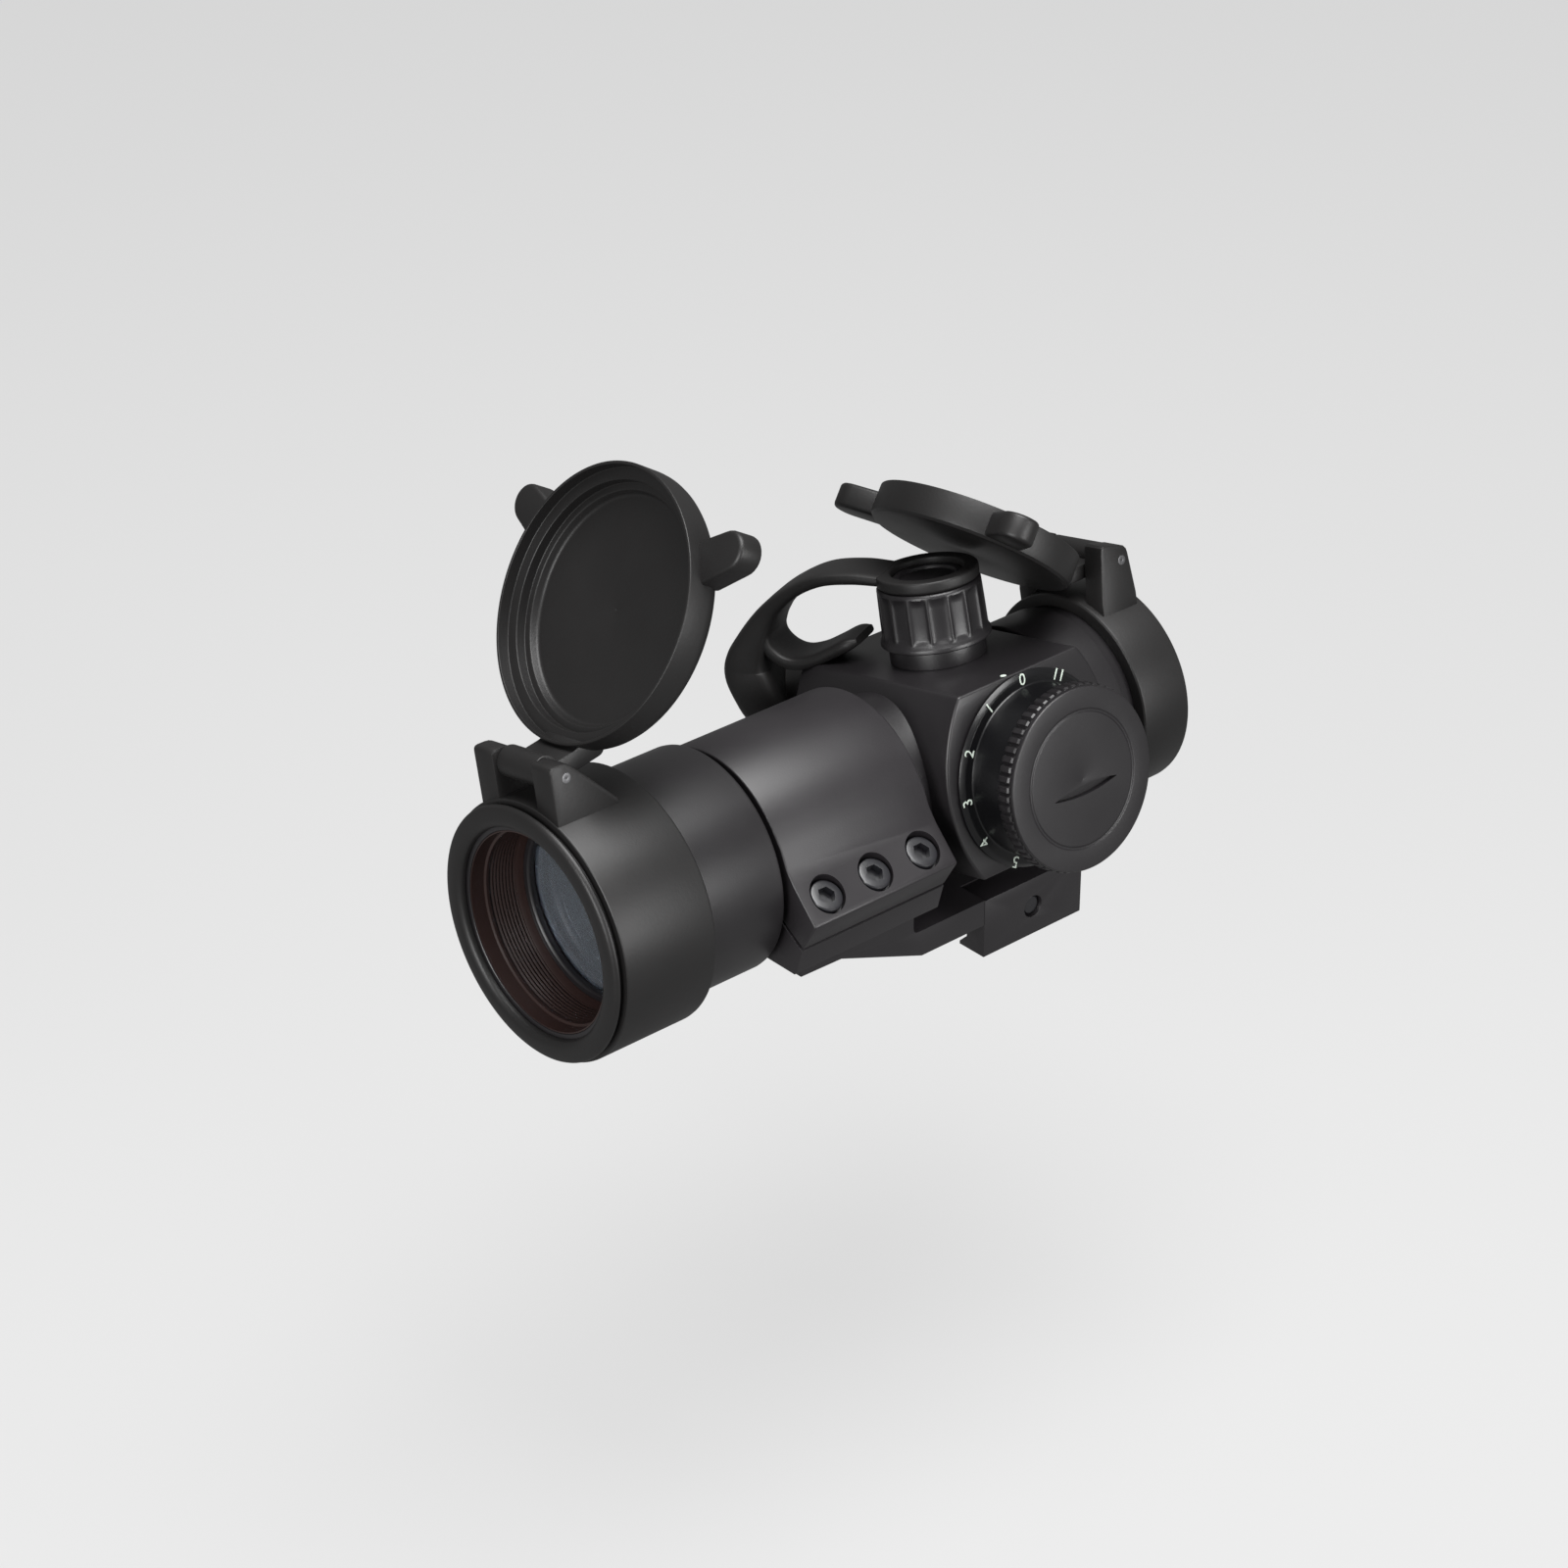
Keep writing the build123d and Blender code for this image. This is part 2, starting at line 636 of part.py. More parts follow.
def make_dial():
    """Dial: skirt for its numbers, neck, knurled rim, hub caught behind the plate."""
    flange = pocket_radius - 0.3
    hub_low = block_half_width - 2.6
    dial = dial_turned([
        (4.0, hub_low), (flange, hub_low), (flange, block_half_width - 1.4),
        (dial_hub_radius, block_half_width - 1.4), (dial_hub_radius, dial_low),
        (dial_skirt_radius - 0.4, dial_low), (dial_skirt_radius, dial_low + 0.3),
        (dial_skirt_radius - 1.0, dial_skirt_top), (dial_neck_radius, dial_skirt_top + 0.4),
        (dial_neck_radius, rim_low - 0.8), (dial_rim_radius, rim_low), (dial_rim_radius, dial_top - 0.5),
        (dial_rim_radius - 0.5, dial_top), (11.8, dial_top), (11.8, cap_foot - 0.2),
        (battery_radius + 0.2, cap_foot - 0.2), (battery_radius + 0.2, battery_floor), (4.0, battery_floor),
    ])
    notches = None
    for tooth in range(40):
        turn = Pos(turret_x, 0, 0) * Rot(0, 9 * tooth, 0) * Pos(dial_rim_radius + 0.25, 0, 0)
        notch = turn * rod("y", 0.6, rim_low - 1.0, dial_top + 1.0)
        dial = dial - notch
    return dial


def make_battery_cap():
    """Screw-in battery cap with a coin slot."""
    hub = 11.8 - thread_fit
    cap = dial_turned([
        (0, cap_foot), (hub, cap_foot), (hub, dial_top + 0.05), (battery_cap_radius, dial_top + 0.05),
        (battery_cap_radius, cap_face - 0.3), (battery_cap_radius - 0.3, cap_face), (0, cap_face),
    ])
    slot_half = slot_length / 2
    slot = brick(turret_x - slot_half, turret_x + slot_half, cap_face - slot_depth, cap_face + 1,
                 -slot_width / 2, slot_width / 2)
    return cap - slot - Pos(turret_x, dial_top - 1.1, 0) * Rot(90, 0, 0) * ring_seal(hub, seal_wire)


plate_blank = dial_turned([
    (dial_hub_radius + pin_fit, block_half_width), (15.2, block_half_width),
    (15.2, plate_face), (dial_hub_radius + pin_fit, plate_face),
])
plate_blank = plate_blank - rod("y", detent_radius + 0.1, 0, plate_face + 1, turret_x, -14.4)
nodes["dial_plate"] = in_ring(plate_blank)
nodes["brightness_dial"] = in_ring(make_dial())
nodes["battery_cap"] = in_ring(make_battery_cap())
nodes["battery_cap_seal"] = in_ring(
    Pos(turret_x, dial_top - 1.1, 0) * Rot(90, 0, 0) * ring_seal(11.8 - thread_fit - 0.02, seal_wire - 0.02)
    & rod("y", 11.8, dial_top - 3, dial_top, turret_x, 0))
nodes["battery"] = in_ring(rod("y", battery_radius, battery_floor + 0.1, battery_floor + 0.1 + battery_thickness,
                               turret_x, 0))
board_low = block_half_width - pocket_depth
nodes["circuit_board"] = in_ring(
    rod("y", pocket_radius - 0.4, board_low, board_low + 1.2, turret_x, 0)
    + brick(turret_x - 3, turret_x + 3, board_low + 1.2, board_low + 1.9, -7.0, -3.0))
contact = rod("y", 0.3, board_low + 1.2, battery_floor + 0.1, turret_x, 0)
for turn in range(7):
    contact = contact + Pos(turret_x, board_low + 1.9 + turn * 1.1, 0) * Rot(90, 0, 0) * Cylinder(
        2.6 - 0.2 * turn, 0.5)
nodes["battery_contact"] = in_ring(contact)
ball_y = plate_face - detent_radius + 0.05
nodes["detent_ball"] = in_ring(Pos(turret_x, ball_y, -14.4) * Sphere(detent_radius))
detent_spring = None
for turn in range(6):
    coil = Pos(turret_x, block_half_width - 4.4 + 0.2 + turn * 0.38, -14.4) * Rot(90, 0, 0) * Torus(0.5, 0.2)
    detent_spring = coil if detent_spring is None else detent_spring + coil
nodes["detent_spring"] = in_ring(detent_spring)


# ---- flip-up covers, drawn shut and then swung open ------------------------------------

def swung(shape, pin_x, pin_height, angle):
    """Turn about a hinge pin that runs along Y."""
    return Pos(pin_x, 0, pin_height) * Rot(0, angle, 0) * Pos(-pin_x, 0, -pin_height) * shape


def thumb_tab(side, reach, start, end):
    """Round-ended tab on a lid's edge."""
    tab = Pos(reach / 2 - tab_width / 4, 0) * Rectangle(reach - tab_width / 2, tab_width)
    tab = tab + Pos(reach - tab_width / 2, 0) * Circle(tab_width / 2)
    tilt = -tab_angle if side > 0 else 180 + tab_angle
    face = Plane.YZ * (Rot(0, 0, tilt) * tab)
    return Pos(start, 0, 0) * extrude(face, end - start)


def hinge_coil(pin_x, pin_height, width):
    """Torsion spring round the hinge pin, drawn as touching turns."""
    wire = 0.6
    turns = int(width / wire)
    inner = pin_radius + 0.12
    outline = [(inner, 0)]
    for turn in range(turns):
        outline.append((inner + 0.35, turn * wire))
        outline.append((inner + wire, (turn + 0.5) * wire))
    outline = outline + [(inner + 0.35, turns * wire), (inner, turns * wire)]
    return Pos(pin_x, -turns * wire / 2, pin_height) * Rot(-90, 0, 0) * turned_up(outline)


def make_front_cover():
    back = lip_x - sleeve_length
    groove_front = lip_x - lip_width
    groove_back = groove_front - groove_width
    ring = turned([
        (back, 18.0), (back, sleeve_radius - 0.5), (back + 0.5, sleeve_radius), (groove_back, sleeve_radius),
        (groove_back, groove_radius), (groove_front, groove_radius), (groove_front, lip_radius),
        (lip_x - 0.3, lip_radius), (lip_x, lip_radius - 0.3), (lip_x, 18.0),
    ])
    side = plate([
        (groove_back - 0.3, 18.0), (groove_back - 0.3, front_pin_height + 2.5),
        (front_pin_x - 0.4, front_pin_height + 2.5), (lip_x - 14.5, 20.4), (lip_x - 14.5, 18.0),
    ], front_ear_inner, front_ear_outer)
    ring = ring + side + mirror(side, Plane.XZ)
    ring = ring - rod("x", objective_radius + thread_fit, back - 1, bell_front_x)
    ring = ring - rod("x", lip_bore, back - 1, lip_x + 1)
    return ring - rod("y", pin_radius, -front_ear_outer + 1.0, front_ear_outer + 1, front_pin_x, front_pin_height)


def make_front_lid():
    rim = lip_x - front_lid_skirt
    ledge = lip_x + 0.3
    outer = ledge + front_lid_depth
    lid = turned([
        (rim, lip_radius + 0.35), (rim, front_lid_radius), (outer - 0.9, front_lid_radius),
        (outer, front_lid_radius - 1.0), (outer, 0), (outer - lid_floor, 0),
        (outer - lid_floor, front_lid_cavity - 1.2), (outer - lid_floor - lid_step, front_lid_cavity - 1.2),
        (outer - lid_floor - lid_step, front_lid_cavity), (ledge, front_lid_cavity), (ledge, lip_radius + 0.35),
    ])
    for side in (1, -1):
        tab = thumb_tab(side, front_tab_reach, ledge, outer - 0.2)
        lid = lid + (tab - rod("x", front_lid_cavity + 1.0, rim, outer + 1))
    half = front_ear_inner - side_play - 0.2
    arm = plate([
        (front_pin_x - 1.2, front_pin_height + 2.3), (front_pin_x + 1.5, front_pin_height + 2.2),
        (outer - 0.6, front_lid_radius - 0.6), (outer - 0.6, front_lid_radius - 2.0),
        (ledge + 0.4, front_lid_radius - 2.0), (ledge - 1.0, front_lid_radius - 0.3),
        (front_pin_x + 1.6, front_pin_height - 1.9),
    ], -half, half)
    barrel = rod("y", barrel_radius, -half, half, front_pin_x, front_pin_height)
    lid = lid + arm + barrel
    lid = lid - rod("y", pin_radius + pin_fit, -half - 1, half + 1, front_pin_x, front_pin_height)
    return lid - rod("y", 1.85, -1.6, 1.6, front_pin_x, front_pin_height)


def make_rear_cover():
    back = rear_cover_back_x
    front = rear_cover_front_x
    ring = turned([
        (back, 15.0), (back - rear_spigot_length, 15.0), (back - rear_spigot_length, rear_spigot_radius),
        (back, rear_spigot_radius), (back, rear_sleeve_radius - 0.3), (back + 0.3, rear_sleeve_radius),
        (front - 0.5, rear_sleeve_radius), (front, rear_sleeve_radius - 0.5), (front, 15.0),
    ])
    side = plate([
        (back + 1.2, 15.0), (back + 1.2, 18.0), (back + 2.2, rear_pin_height + 2.3),
        (front - 2.7, rear_pin_height + 3.6), (front - 1.4, 18.0), (front - 1.4, 15.0),
    ], rear_ear_inner, rear_ear_outer)
    ring = ring + side + mirror(side, Plane.XZ)
    ring = ring - rod("x", rear_seat_radius + thread_fit, tube_end_x, front + 1)
    ring = ring - rod("x", eye_bore + 0.3, back - 2, front)
    return ring - rod("y", pin_radius, -rear_ear_outer + 1.0, rear_ear_outer + 1, rear_pin_x, rear_pin_height)


def make_rear_lid():
    rim = rear_cover_back_x - 0.3
    outer = rim - rear_lid_depth
    lid = turned([
        (rim, rear_lid_cavity), (rim, rear_lid_radius), (outer + 0.9, rear_lid_radius),
        (outer, rear_lid_radius - 1.0), (outer, 0), (outer + lid_floor, 0),
        (outer + lid_floor, rear_lid_cavity - 1.2), (outer + lid_floor + lid_step, rear_lid_cavity - 1.2),
        (outer + lid_floor + lid_step, rear_lid_cavity),
    ])
    for side in (1, -1):
        tab = thumb_tab(side, rear_tab_reach, outer + 0.2, rim)
        lid = lid + (tab - rod("x", rear_lid_cavity + 0.5, rim + 1, outer - 1))
    half = rear_ear_inner - side_play - 0.2
    arm = plate([
        (rear_pin_x + 1.0, rear_pin_height + 2.0), (rear_pin_x - 1.0, rear_pin_height + 2.0),
        (outer + 0.6, rear_lid_radius - 0.4), (outer + 0.6, rear_lid_radius - 1.0),
        (rim - 0.2, rear_lid_radius - 1.0), (rim - 0.2, rear_lid_radius + 1.2),
        (rear_pin_x - 1.2, rear_pin_height - 2.0),
    ], -half, half)
    barrel = rod("y", barrel_radius - 0.2, -half, half, rear_pin_x, rear_pin_height)
    lid = lid + arm + barrel
    lid = lid - rod("y", pin_radius + pin_fit, -half - 1, half + 1, rear_pin_x, rear_pin_height)
    return lid - rod("y", 1.85, -1.6, 1.6, rear_pin_x, rear_pin_height)


nodes["front_cover"] = in_ring(make_front_cover(), front_cover_roll)
nodes["front_lid"] = in_ring(swung(make_front_lid(), front_pin_x, front_pin_height, -front_lid_angle),
                             front_cover_roll)
nodes["front_hinge_pin"] = in_ring(
    rod("y", pin_radius - 0.01, -front_ear_outer + 1.0, front_ear_outer, front_pin_x, front_pin_height),
    front_cover_roll)
nodes["front_lid_spring"] = in_ring(hinge_coil(front_pin_x, front_pin_height, 3.0), front_cover_roll)
nodes["rear_cover"] = in_ring(make_rear_cover(), rear_cover_roll)
nodes["rear_lid"] = in_ring(swung(make_rear_lid(), rear_pin_x, rear_pin_height, rear_lid_angle),
                            rear_cover_roll)
nodes["rear_hinge_pin"] = in_ring(
    rod("y", pin_radius - 0.01, -rear_ear_outer + 1.0, rear_ear_outer, rear_pin_x, rear_pin_height),
    rear_cover_roll)
nodes["rear_lid_spring"] = in_ring(hinge_coil(rear_pin_x, rear_pin_height, 3.0), rear_cover_roll)


# ---- strap that keeps the turret caps --------------------------------------------------

def strap_section(point, along, width):
    """Rectangle across the strap's run."""
    plane = Plane(origin=point, x_dir=width, z_dir=along)
    return plane * Rectangle(strap_band, strap_thickness)


def make_strap():
    top = block_top + cap_top + strap_gap
    lay = top + strap_thickness / 2
    ring = pipe("z", strap_ring_radius, strap_ring_hole, top, top + strap_thickness, turret_x, 0)
    heading = (0.457, -0.889)
    out_y = -block_half_width
    run = [(7.6, lay), (20.0, lay + 0.2), (28.0, lay - 2.4), (34.5, lay - 8.5), (37.4, lay - 16.0),
           (37.0, lay - 22.5)]
    slopes = [(1, 0), (0.99, -0.1), (0.86, -0.5), (0.55, -0.84), (0.12, -0.99), (-0.2, -0.98)]
    sections = []
    for (s, z), (ds, dz) in zip(run, slopes):
        point = (turret_x + heading[0] * s, heading[1] * s, z)
        along = (heading[0] * ds, heading[1] * ds, dz)
        sections.append(strap_section(point, along, (-heading[1], heading[0], 0)))
    sections.append(strap_section((turret_x + 11.2, out_y - 11.4, 2.0), (-0.75, 0.1, -0.65), (0.35, 0.93, -0.26)))
    band = loft(sections, ruled=True)
    cuff = pipe("y", 13.5, cap_radius + 0.18, out_y - 7.6, out_y - 14.6, turret_x, 0)
    band = band - rod("y", cap_radius + 0.2, out_y - 16, out_y - 3, turret_x, 0)
    band = band - rod("z", strap_ring_hole, top - 1, top + strap_thickness + 1, turret_x, 0)
    return ring + band + cuff


nodes["cap_strap"] = in_ring(make_strap())

for name, shape in nodes.items():
    shape.label = name
    export_step(shape, os.path.join("parts", name + ".step"))
print(len(nodes), "parts written")
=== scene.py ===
import math

import bmesh
import bpy
from mathutils import Matrix, Vector


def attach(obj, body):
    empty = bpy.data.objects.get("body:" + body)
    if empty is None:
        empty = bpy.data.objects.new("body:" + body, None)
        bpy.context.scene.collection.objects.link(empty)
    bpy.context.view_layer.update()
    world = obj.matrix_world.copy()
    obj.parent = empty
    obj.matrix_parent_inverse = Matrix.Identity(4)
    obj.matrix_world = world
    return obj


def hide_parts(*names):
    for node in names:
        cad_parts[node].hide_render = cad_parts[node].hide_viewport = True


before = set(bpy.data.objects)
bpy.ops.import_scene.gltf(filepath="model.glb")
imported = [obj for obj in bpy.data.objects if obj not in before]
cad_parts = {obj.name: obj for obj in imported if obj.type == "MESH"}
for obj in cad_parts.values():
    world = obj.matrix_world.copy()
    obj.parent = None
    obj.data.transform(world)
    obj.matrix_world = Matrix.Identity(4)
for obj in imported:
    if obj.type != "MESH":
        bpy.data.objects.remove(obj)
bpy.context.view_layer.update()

MM = 0.001

# ---- sizes in millimetres, the same as the CAD's ----------------------------------------

axis_height = 26.3
tube_roll = math.radians(13.0)
front_cover_roll = math.radians(11.5)
front_lid_angle = math.radians(210.3)
rear_lid_angle = math.radians(231.0)

turret_x = 5.8
ring_back_x = 28.3
ring_front_x = 59.5
shoulder_x = 61.0
lip_x = 97.8
tube_end_x = -32.1
rear_back_x = -32.7
rear_front_x = -21.9
block_top = 17.0
block_side = 19.7
tube_radius = 15.0
ring_bore = 15.05
ring_outer = 18.5
base_half_width = 15.0
jaw_half_length = 11.65
bolt_drop = 0.9
bolt_hole = 2.05
cap_skirt_radius = 9.5
strap_lay = 31.55


# ---- placing ---------------------------------------------------------------------------

def in_tube(roll=tube_roll):
    """Tube's own frame to the part's frame: X along the axis, Z towards the elevation turret."""
    return Matrix.Translation((0, 0, axis_height)) @ Matrix.Rotation(roll, 4, "X")


def facing(direction, at=(0, 0, 0)):
    """Local Z points in direction, from a point."""
    turn = Vector(direction).to_track_quat("Z", "Y").to_matrix().to_4x4()
    if tuple(direction) == (1, 0, 0):
        turn = Matrix(((0, 0, 1, 0), (1, 0, 0, 0), (0, 1, 0, 0), (0, 0, 0, 1)))
    if tuple(direction) == (0, 1, 0):
        turn = Matrix(((1, 0, 0, 0), (0, 0, 1, 0), (0, -1, 0, 0), (0, 0, 0, 1)))
    if tuple(direction) == (0, -1, 0):
        turn = Matrix(((1, 0, 0, 0), (0, 0, -1, 0), (0, 1, 0, 0), (0, 0, 0, 1)))
    return Matrix.Translation(at) @ turn


along_tube = facing((1, 0, 0))
from_dial_side = facing((0, 1, 0), (turret_x, 0, 0))
from_windage_side = facing((0, -1, 0), (turret_x, -block_side, 0))
from_top = Matrix.Translation((turret_x, 0, block_top))


def swung(angle, pin_x, pin_height):
    """Turn about a hinge pin that runs along Y."""
    pin = Matrix.Translation((pin_x, 0, pin_height))
    return pin @ Matrix.Rotation(angle, 4, "Y") @ pin.inverted()


# ---- shaping, everything in millimetres until a piece is made ------------------------------

def rounded(outline, radius, steps=3, closed=True):
    """Corners of an outline replaced by small arcs."""
    result = []
    count = len(outline)
    for i, point in enumerate(outline):
        here = Vector(point[:2])
        size = point[2] if len(point) > 2 else radius
        if not closed and i in (0, count - 1):
            result.append(tuple(here))
            continue
        before = Vector(outline[i - 1][:2])
        after = Vector(outline[(i + 1) % count][:2])
        to_before = before - here
        to_after = after - here
        room = min(to_before.length, to_after.length) * 0.45
        reach = min(size, room)
        if reach < 0.01 or to_before.length < 1e-6 or to_after.length < 1e-6:
            result.append(tuple(here))
            continue
        if to_before.normalized().dot(to_after.normalized()) < -0.985:
            result.append(tuple(here))
            continue
        start = here + to_before.normalized() * reach
        end = here + to_after.normalized() * reach
        for k in range(steps + 1):
            t = k / steps
            result.append(tuple(start * (1 - t) ** 2 + here * 2 * t * (1 - t) + end * t ** 2))
    return result


def turned(outline, place, segments=160, shape=None, closed=True):
    """Lathe work about local Z from (height, radius) points.

    shape(height, angle, radius) gives a new radius.
    """
    mesh = bmesh.new()
    rings = []
    for height, radius in outline:
        ring = []
        for k in range(segments):
            angle = 2 * math.pi * k / segments
            r = radius if shape is None else shape(height, angle, radius)
            ring.append(mesh.verts.new((r * math.cos(angle), r * math.sin(angle), height)))
        rings.append(ring)
    count = len(rings)
    for i in range(count if closed else count - 1):
        low, high = rings[i], rings[(i + 1) % count]
        for k in range(segments):
            n = (k + 1) % segments
            mesh.faces.new((low[k], low[n], high[n], high[k]))
    bmesh.ops.remove_doubles(mesh, verts=mesh.verts, dist=1e-4)
    bmesh.ops.dissolve_degenerate(mesh, dist=1e-5, edges=mesh.edges)
    bmesh.ops.recalc_face_normals(mesh, faces=mesh.faces)
    mesh.transform(place)
    return mesh


def prism(outline, start, end, place, edge=0.3, edge_steps=2, limit=30.0):
    """Flat outline drawn in local X and Y, made thick along local Z, with eased edges."""
    mesh = bmesh.new()
    low = [mesh.verts.new((x, y, start)) for x, y in outline]
    high = [mesh.verts.new((x, y, end)) for x, y in outline]
    count = len(low)
    mesh.faces.new(list(reversed(low)))
    mesh.faces.new(high)
    for i in range(count):
        n = (i + 1) % count
        mesh.faces.new((low[i], low[n], high[n], high[i]))
    bmesh.ops.recalc_face_normals(mesh, faces=mesh.faces)
    if edge > 0:
        ease(mesh, edge, edge_steps, limit)
    mesh.transform(place)
    return mesh


def ease(mesh, width, steps=2, limit=30.0):
    """Small rounded edges wherever two faces meet at more than the limit."""
    sharp = [e for e in mesh.edges if len(e.link_faces) == 2
             and e.calc_face_angle(0) > math.radians(limit)]
    bmesh.ops.bevel(mesh, geom=sharp, offset=width, offset_type="OFFSET", segments=steps,
                    profile=0.5, affect="EDGES", clamp_overlap=True)


def arc(centre, radius, start, end, steps):
    """Points on an arc, angles in degrees."""
    points = []
    for k in range(steps + 1):
        a = math.radians(start + (end - start) * k / steps)
        points.append((centre[0] + radius * math.cos(a), centre[1] + radius * math.sin(a)))
    return points


def to_object(name, meshes, material):
    """Joins shaped meshes into one object, in metres."""
    whole = bpy.data.meshes.new(name)
    joined = bmesh.new()
    for mesh in (meshes if isinstance(meshes, (list, tuple)) else [meshes]):
        part = bpy.data.meshes.new("part")
        mesh.to_mesh(part)
        joined.from_mesh(part)
        mesh.free()
        bpy.data.meshes.remove(part)
    joined.transform(Matrix.Scale(MM, 4))
    joined.to_mesh(whole)
    joined.free()
    whole.materials.append(material)
    obj = bpy.data.objects.new(name, whole)
    bpy.context.scene.collection.objects.link(obj)
    return obj


def smooth(obj, angle=32.0):
    obj.data.polygons.foreach_set("use_smooth", [True] * len(obj.data.polygons))
    obj.data.set_sharp_from_angle(angle=math.radians(angle))
    return obj


def cut(obj, tools):
    """Takes tool meshes, in millimetres, out of an object."""
    for index, mesh in enumerate(tools):
        tool = to_object(obj.name + "_tool", mesh, obj.data.materials[0])
        step = obj.modifiers.new("cut", "BOOLEAN")
        step.operation = "DIFFERENCE"
        step.solver = "EXACT"
        step.object = tool
        bpy.context.view_layer.update()
        done = bpy.data.meshes.new_from_object(obj.evaluated_get(bpy.context.evaluated_depsgraph_get()))
        obj.modifiers.clear()
        obj.data = done
        bpy.data.objects.remove(tool)
    return obj


def soften(obj, width, limit=30.0, steps=2):
    """Eased edges on a finished object, width in millimetres."""
    mesh = bmesh.new()
    mesh.from_mesh(obj.data)
    mesh.transform(Matrix.Scale(1 / MM, 4))
    bmesh.ops.remove_doubles(mesh, verts=mesh.verts, dist=1e-3)
    bmesh.ops.dissolve_limit(mesh, angle_limit=math.radians(1.0), verts=mesh.verts, edges=mesh.edges)
    ease(mesh, width, steps, limit)
    mesh.transform(Matrix.Scale(MM, 4))
    mesh.to_mesh(obj.data)
    mesh.free()
    return obj


def piece(obj, body, slot, *nodes):
    """Gives a finished object its body and hides the CAD nodes it stands for; slot is not used."""
    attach(obj, body)
    if nodes:
        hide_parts(*nodes)
    return obj


# ---- finishes --------------------------------------------------------------------------

def finish(name, colour, roughness, metallic=0.0, grain=2600.0, grain_depth=0.00002, cloud=90.0,
           cloud_amount=0.06, colour_shift=0.12, coat=0.0, specular=0.5):
    """Painted, anodised or moulded surface: fine grain in the bump, slow clouds in colour and gloss."""
    material = bpy.data.materials.new(name)
    material.use_nodes = True
    nodes, links = material.node_tree.nodes, material.node_tree.links
    shader = nodes["Principled BSDF"]
    shader.inputs["Metallic"].default_value = metallic
    shader.inputs["Coat Weight"].default_value = coat
    shader.inputs["Specular IOR Level"].default_value = specular
    where = nodes.new("ShaderNodeTexCoord")
    fine = nodes.new("ShaderNodeTexNoise")
    fine.inputs["Scale"].default_value = grain
    fine.inputs["Detail"].default_value = 3.0
    bump = nodes.new("ShaderNodeBump")
    bump.inputs["Strength"].default_value = 0.6
    bump.inputs["Distance"].default_value = grain_depth
    slow = nodes.new("ShaderNodeTexNoise")
    slow.inputs["Scale"].default_value = cloud
    slow.inputs["Detail"].default_value = 5.0
    links.new(where.outputs["Object"], fine.inputs["Vector"])
    links.new(where.outputs["Object"], slow.inputs["Vector"])
    links.new(fine.outputs["Fac"], bump.inputs["Height"])
    links.new(bump.outputs["Normal"], shader.inputs["Normal"])
    gloss = nodes.new("ShaderNodeMapRange")
    gloss.inputs["To Min"].default_value = roughness - cloud_amount
    gloss.inputs["To Max"].default_value = roughness + cloud_amount
    links.new(slow.outputs["Fac"], gloss.inputs["Value"])
    links.new(gloss.outputs["Result"], shader.inputs["Roughness"])
    tint = nodes.new("ShaderNodeMix")
    tint.data_type = "RGBA"
    darker = [c * (1 - colour_shift) for c in colour]
    lighter = [c * (1 + colour_shift) for c in colour]
    tint.inputs["A"].default_value = (*darker, 1)
    tint.inputs["B"].default_value = (*lighter, 1)
    links.new(slow.outputs["Fac"], tint.inputs["Factor"])
    links.new(tint.outputs["Result"], shader.inputs["Base Color"])
    return material


def glass(name, colour, tint, roughness=0.02):
    """Coated lens: clear, with a coloured reflex at its surface."""
    material = bpy.data.materials.new(name)
    material.use_nodes = True
    nodes, links = material.node_tree.nodes, material.node_tree.links
    shader = nodes["Principled BSDF"]
    shader.inputs["Base Color"].default_value = (*colour, 1)
    shader.inputs["Roughness"].default_value = roughness
    shader.inputs["Transmission Weight"].default_value = 0.93
    shader.inputs["IOR"].default_value = 1.5
    shader.inputs["Specular Tint"].default_value = (*tint, 1)
    shader.inputs["Coat Weight"].default_value = 0.2
    shader.inputs["Coat Tint"].default_value = (*tint, 1)
    where = nodes.new("ShaderNodeTexCoord")
    dust = nodes.new("ShaderNodeTexNoise")
    dust.inputs["Scale"].default_value = 700.0
    dust.inputs["Detail"].default_value = 4.0
    spread = nodes.new("ShaderNodeMapRange")
    spread.inputs["From Min"].default_value = 0.45
    spread.inputs["From Max"].default_value = 0.9
    spread.inputs["To Min"].default_value = roughness
    spread.inputs["To Max"].default_value = roughness + 0.03
    links.new(where.outputs["Object"], dust.inputs["Vector"])
    links.new(dust.outputs["Fac"], spread.inputs["Value"])
    links.new(spread.outputs["Result"], shader.inputs["Roughness"])
    return material


anodised = finish("black_anodised", (0.0085, 0.0075, 0.0085), 0.4, specular=0.55, grain=3200, coat=0.0)
dial_black = finish("dial_black", (0.003, 0.003, 0.0035), 0.3, specular=0.4, grain=3200)
mount_black = finish("mount_black", (0.0105, 0.009, 0.0105), 0.44, specular=0.55, grain=2800)
screw_black = finish("screw_black", (0.01, 0.01, 0.012), 0.3, specular=0.6, grain=2200)
cover_black = finish("cover_black", (0.008, 0.0075, 0.0075), 0.46, specular=0.4, grain=2000,
                     grain_depth=0.00003)
rubber = finish("strap_rubber", (0.0075, 0.007, 0.007), 0.5, specular=0.4, grain=1600, grain_depth=0.00004)
thread_brown = finish("thread_brown", (0.02, 0.0095, 0.008), 0.38, specular=0.5, grain=2400)
steel = finish("pin_steel", (0.16, 0.16, 0.165), 0.42, metallic=1.0, grain=2600, colour_shift=0.05)
brass = finish("brass", (0.62, 0.45, 0.2), 0.35, metallic=1.0, colour_shift=0.05)
board_green = finish("board_green", (0.02, 0.12, 0.05), 0.4)
nickel = finish("battery_nickel", (0.62, 0.61, 0.6), 0.25, metallic=1.0, colour_shift=0.03)
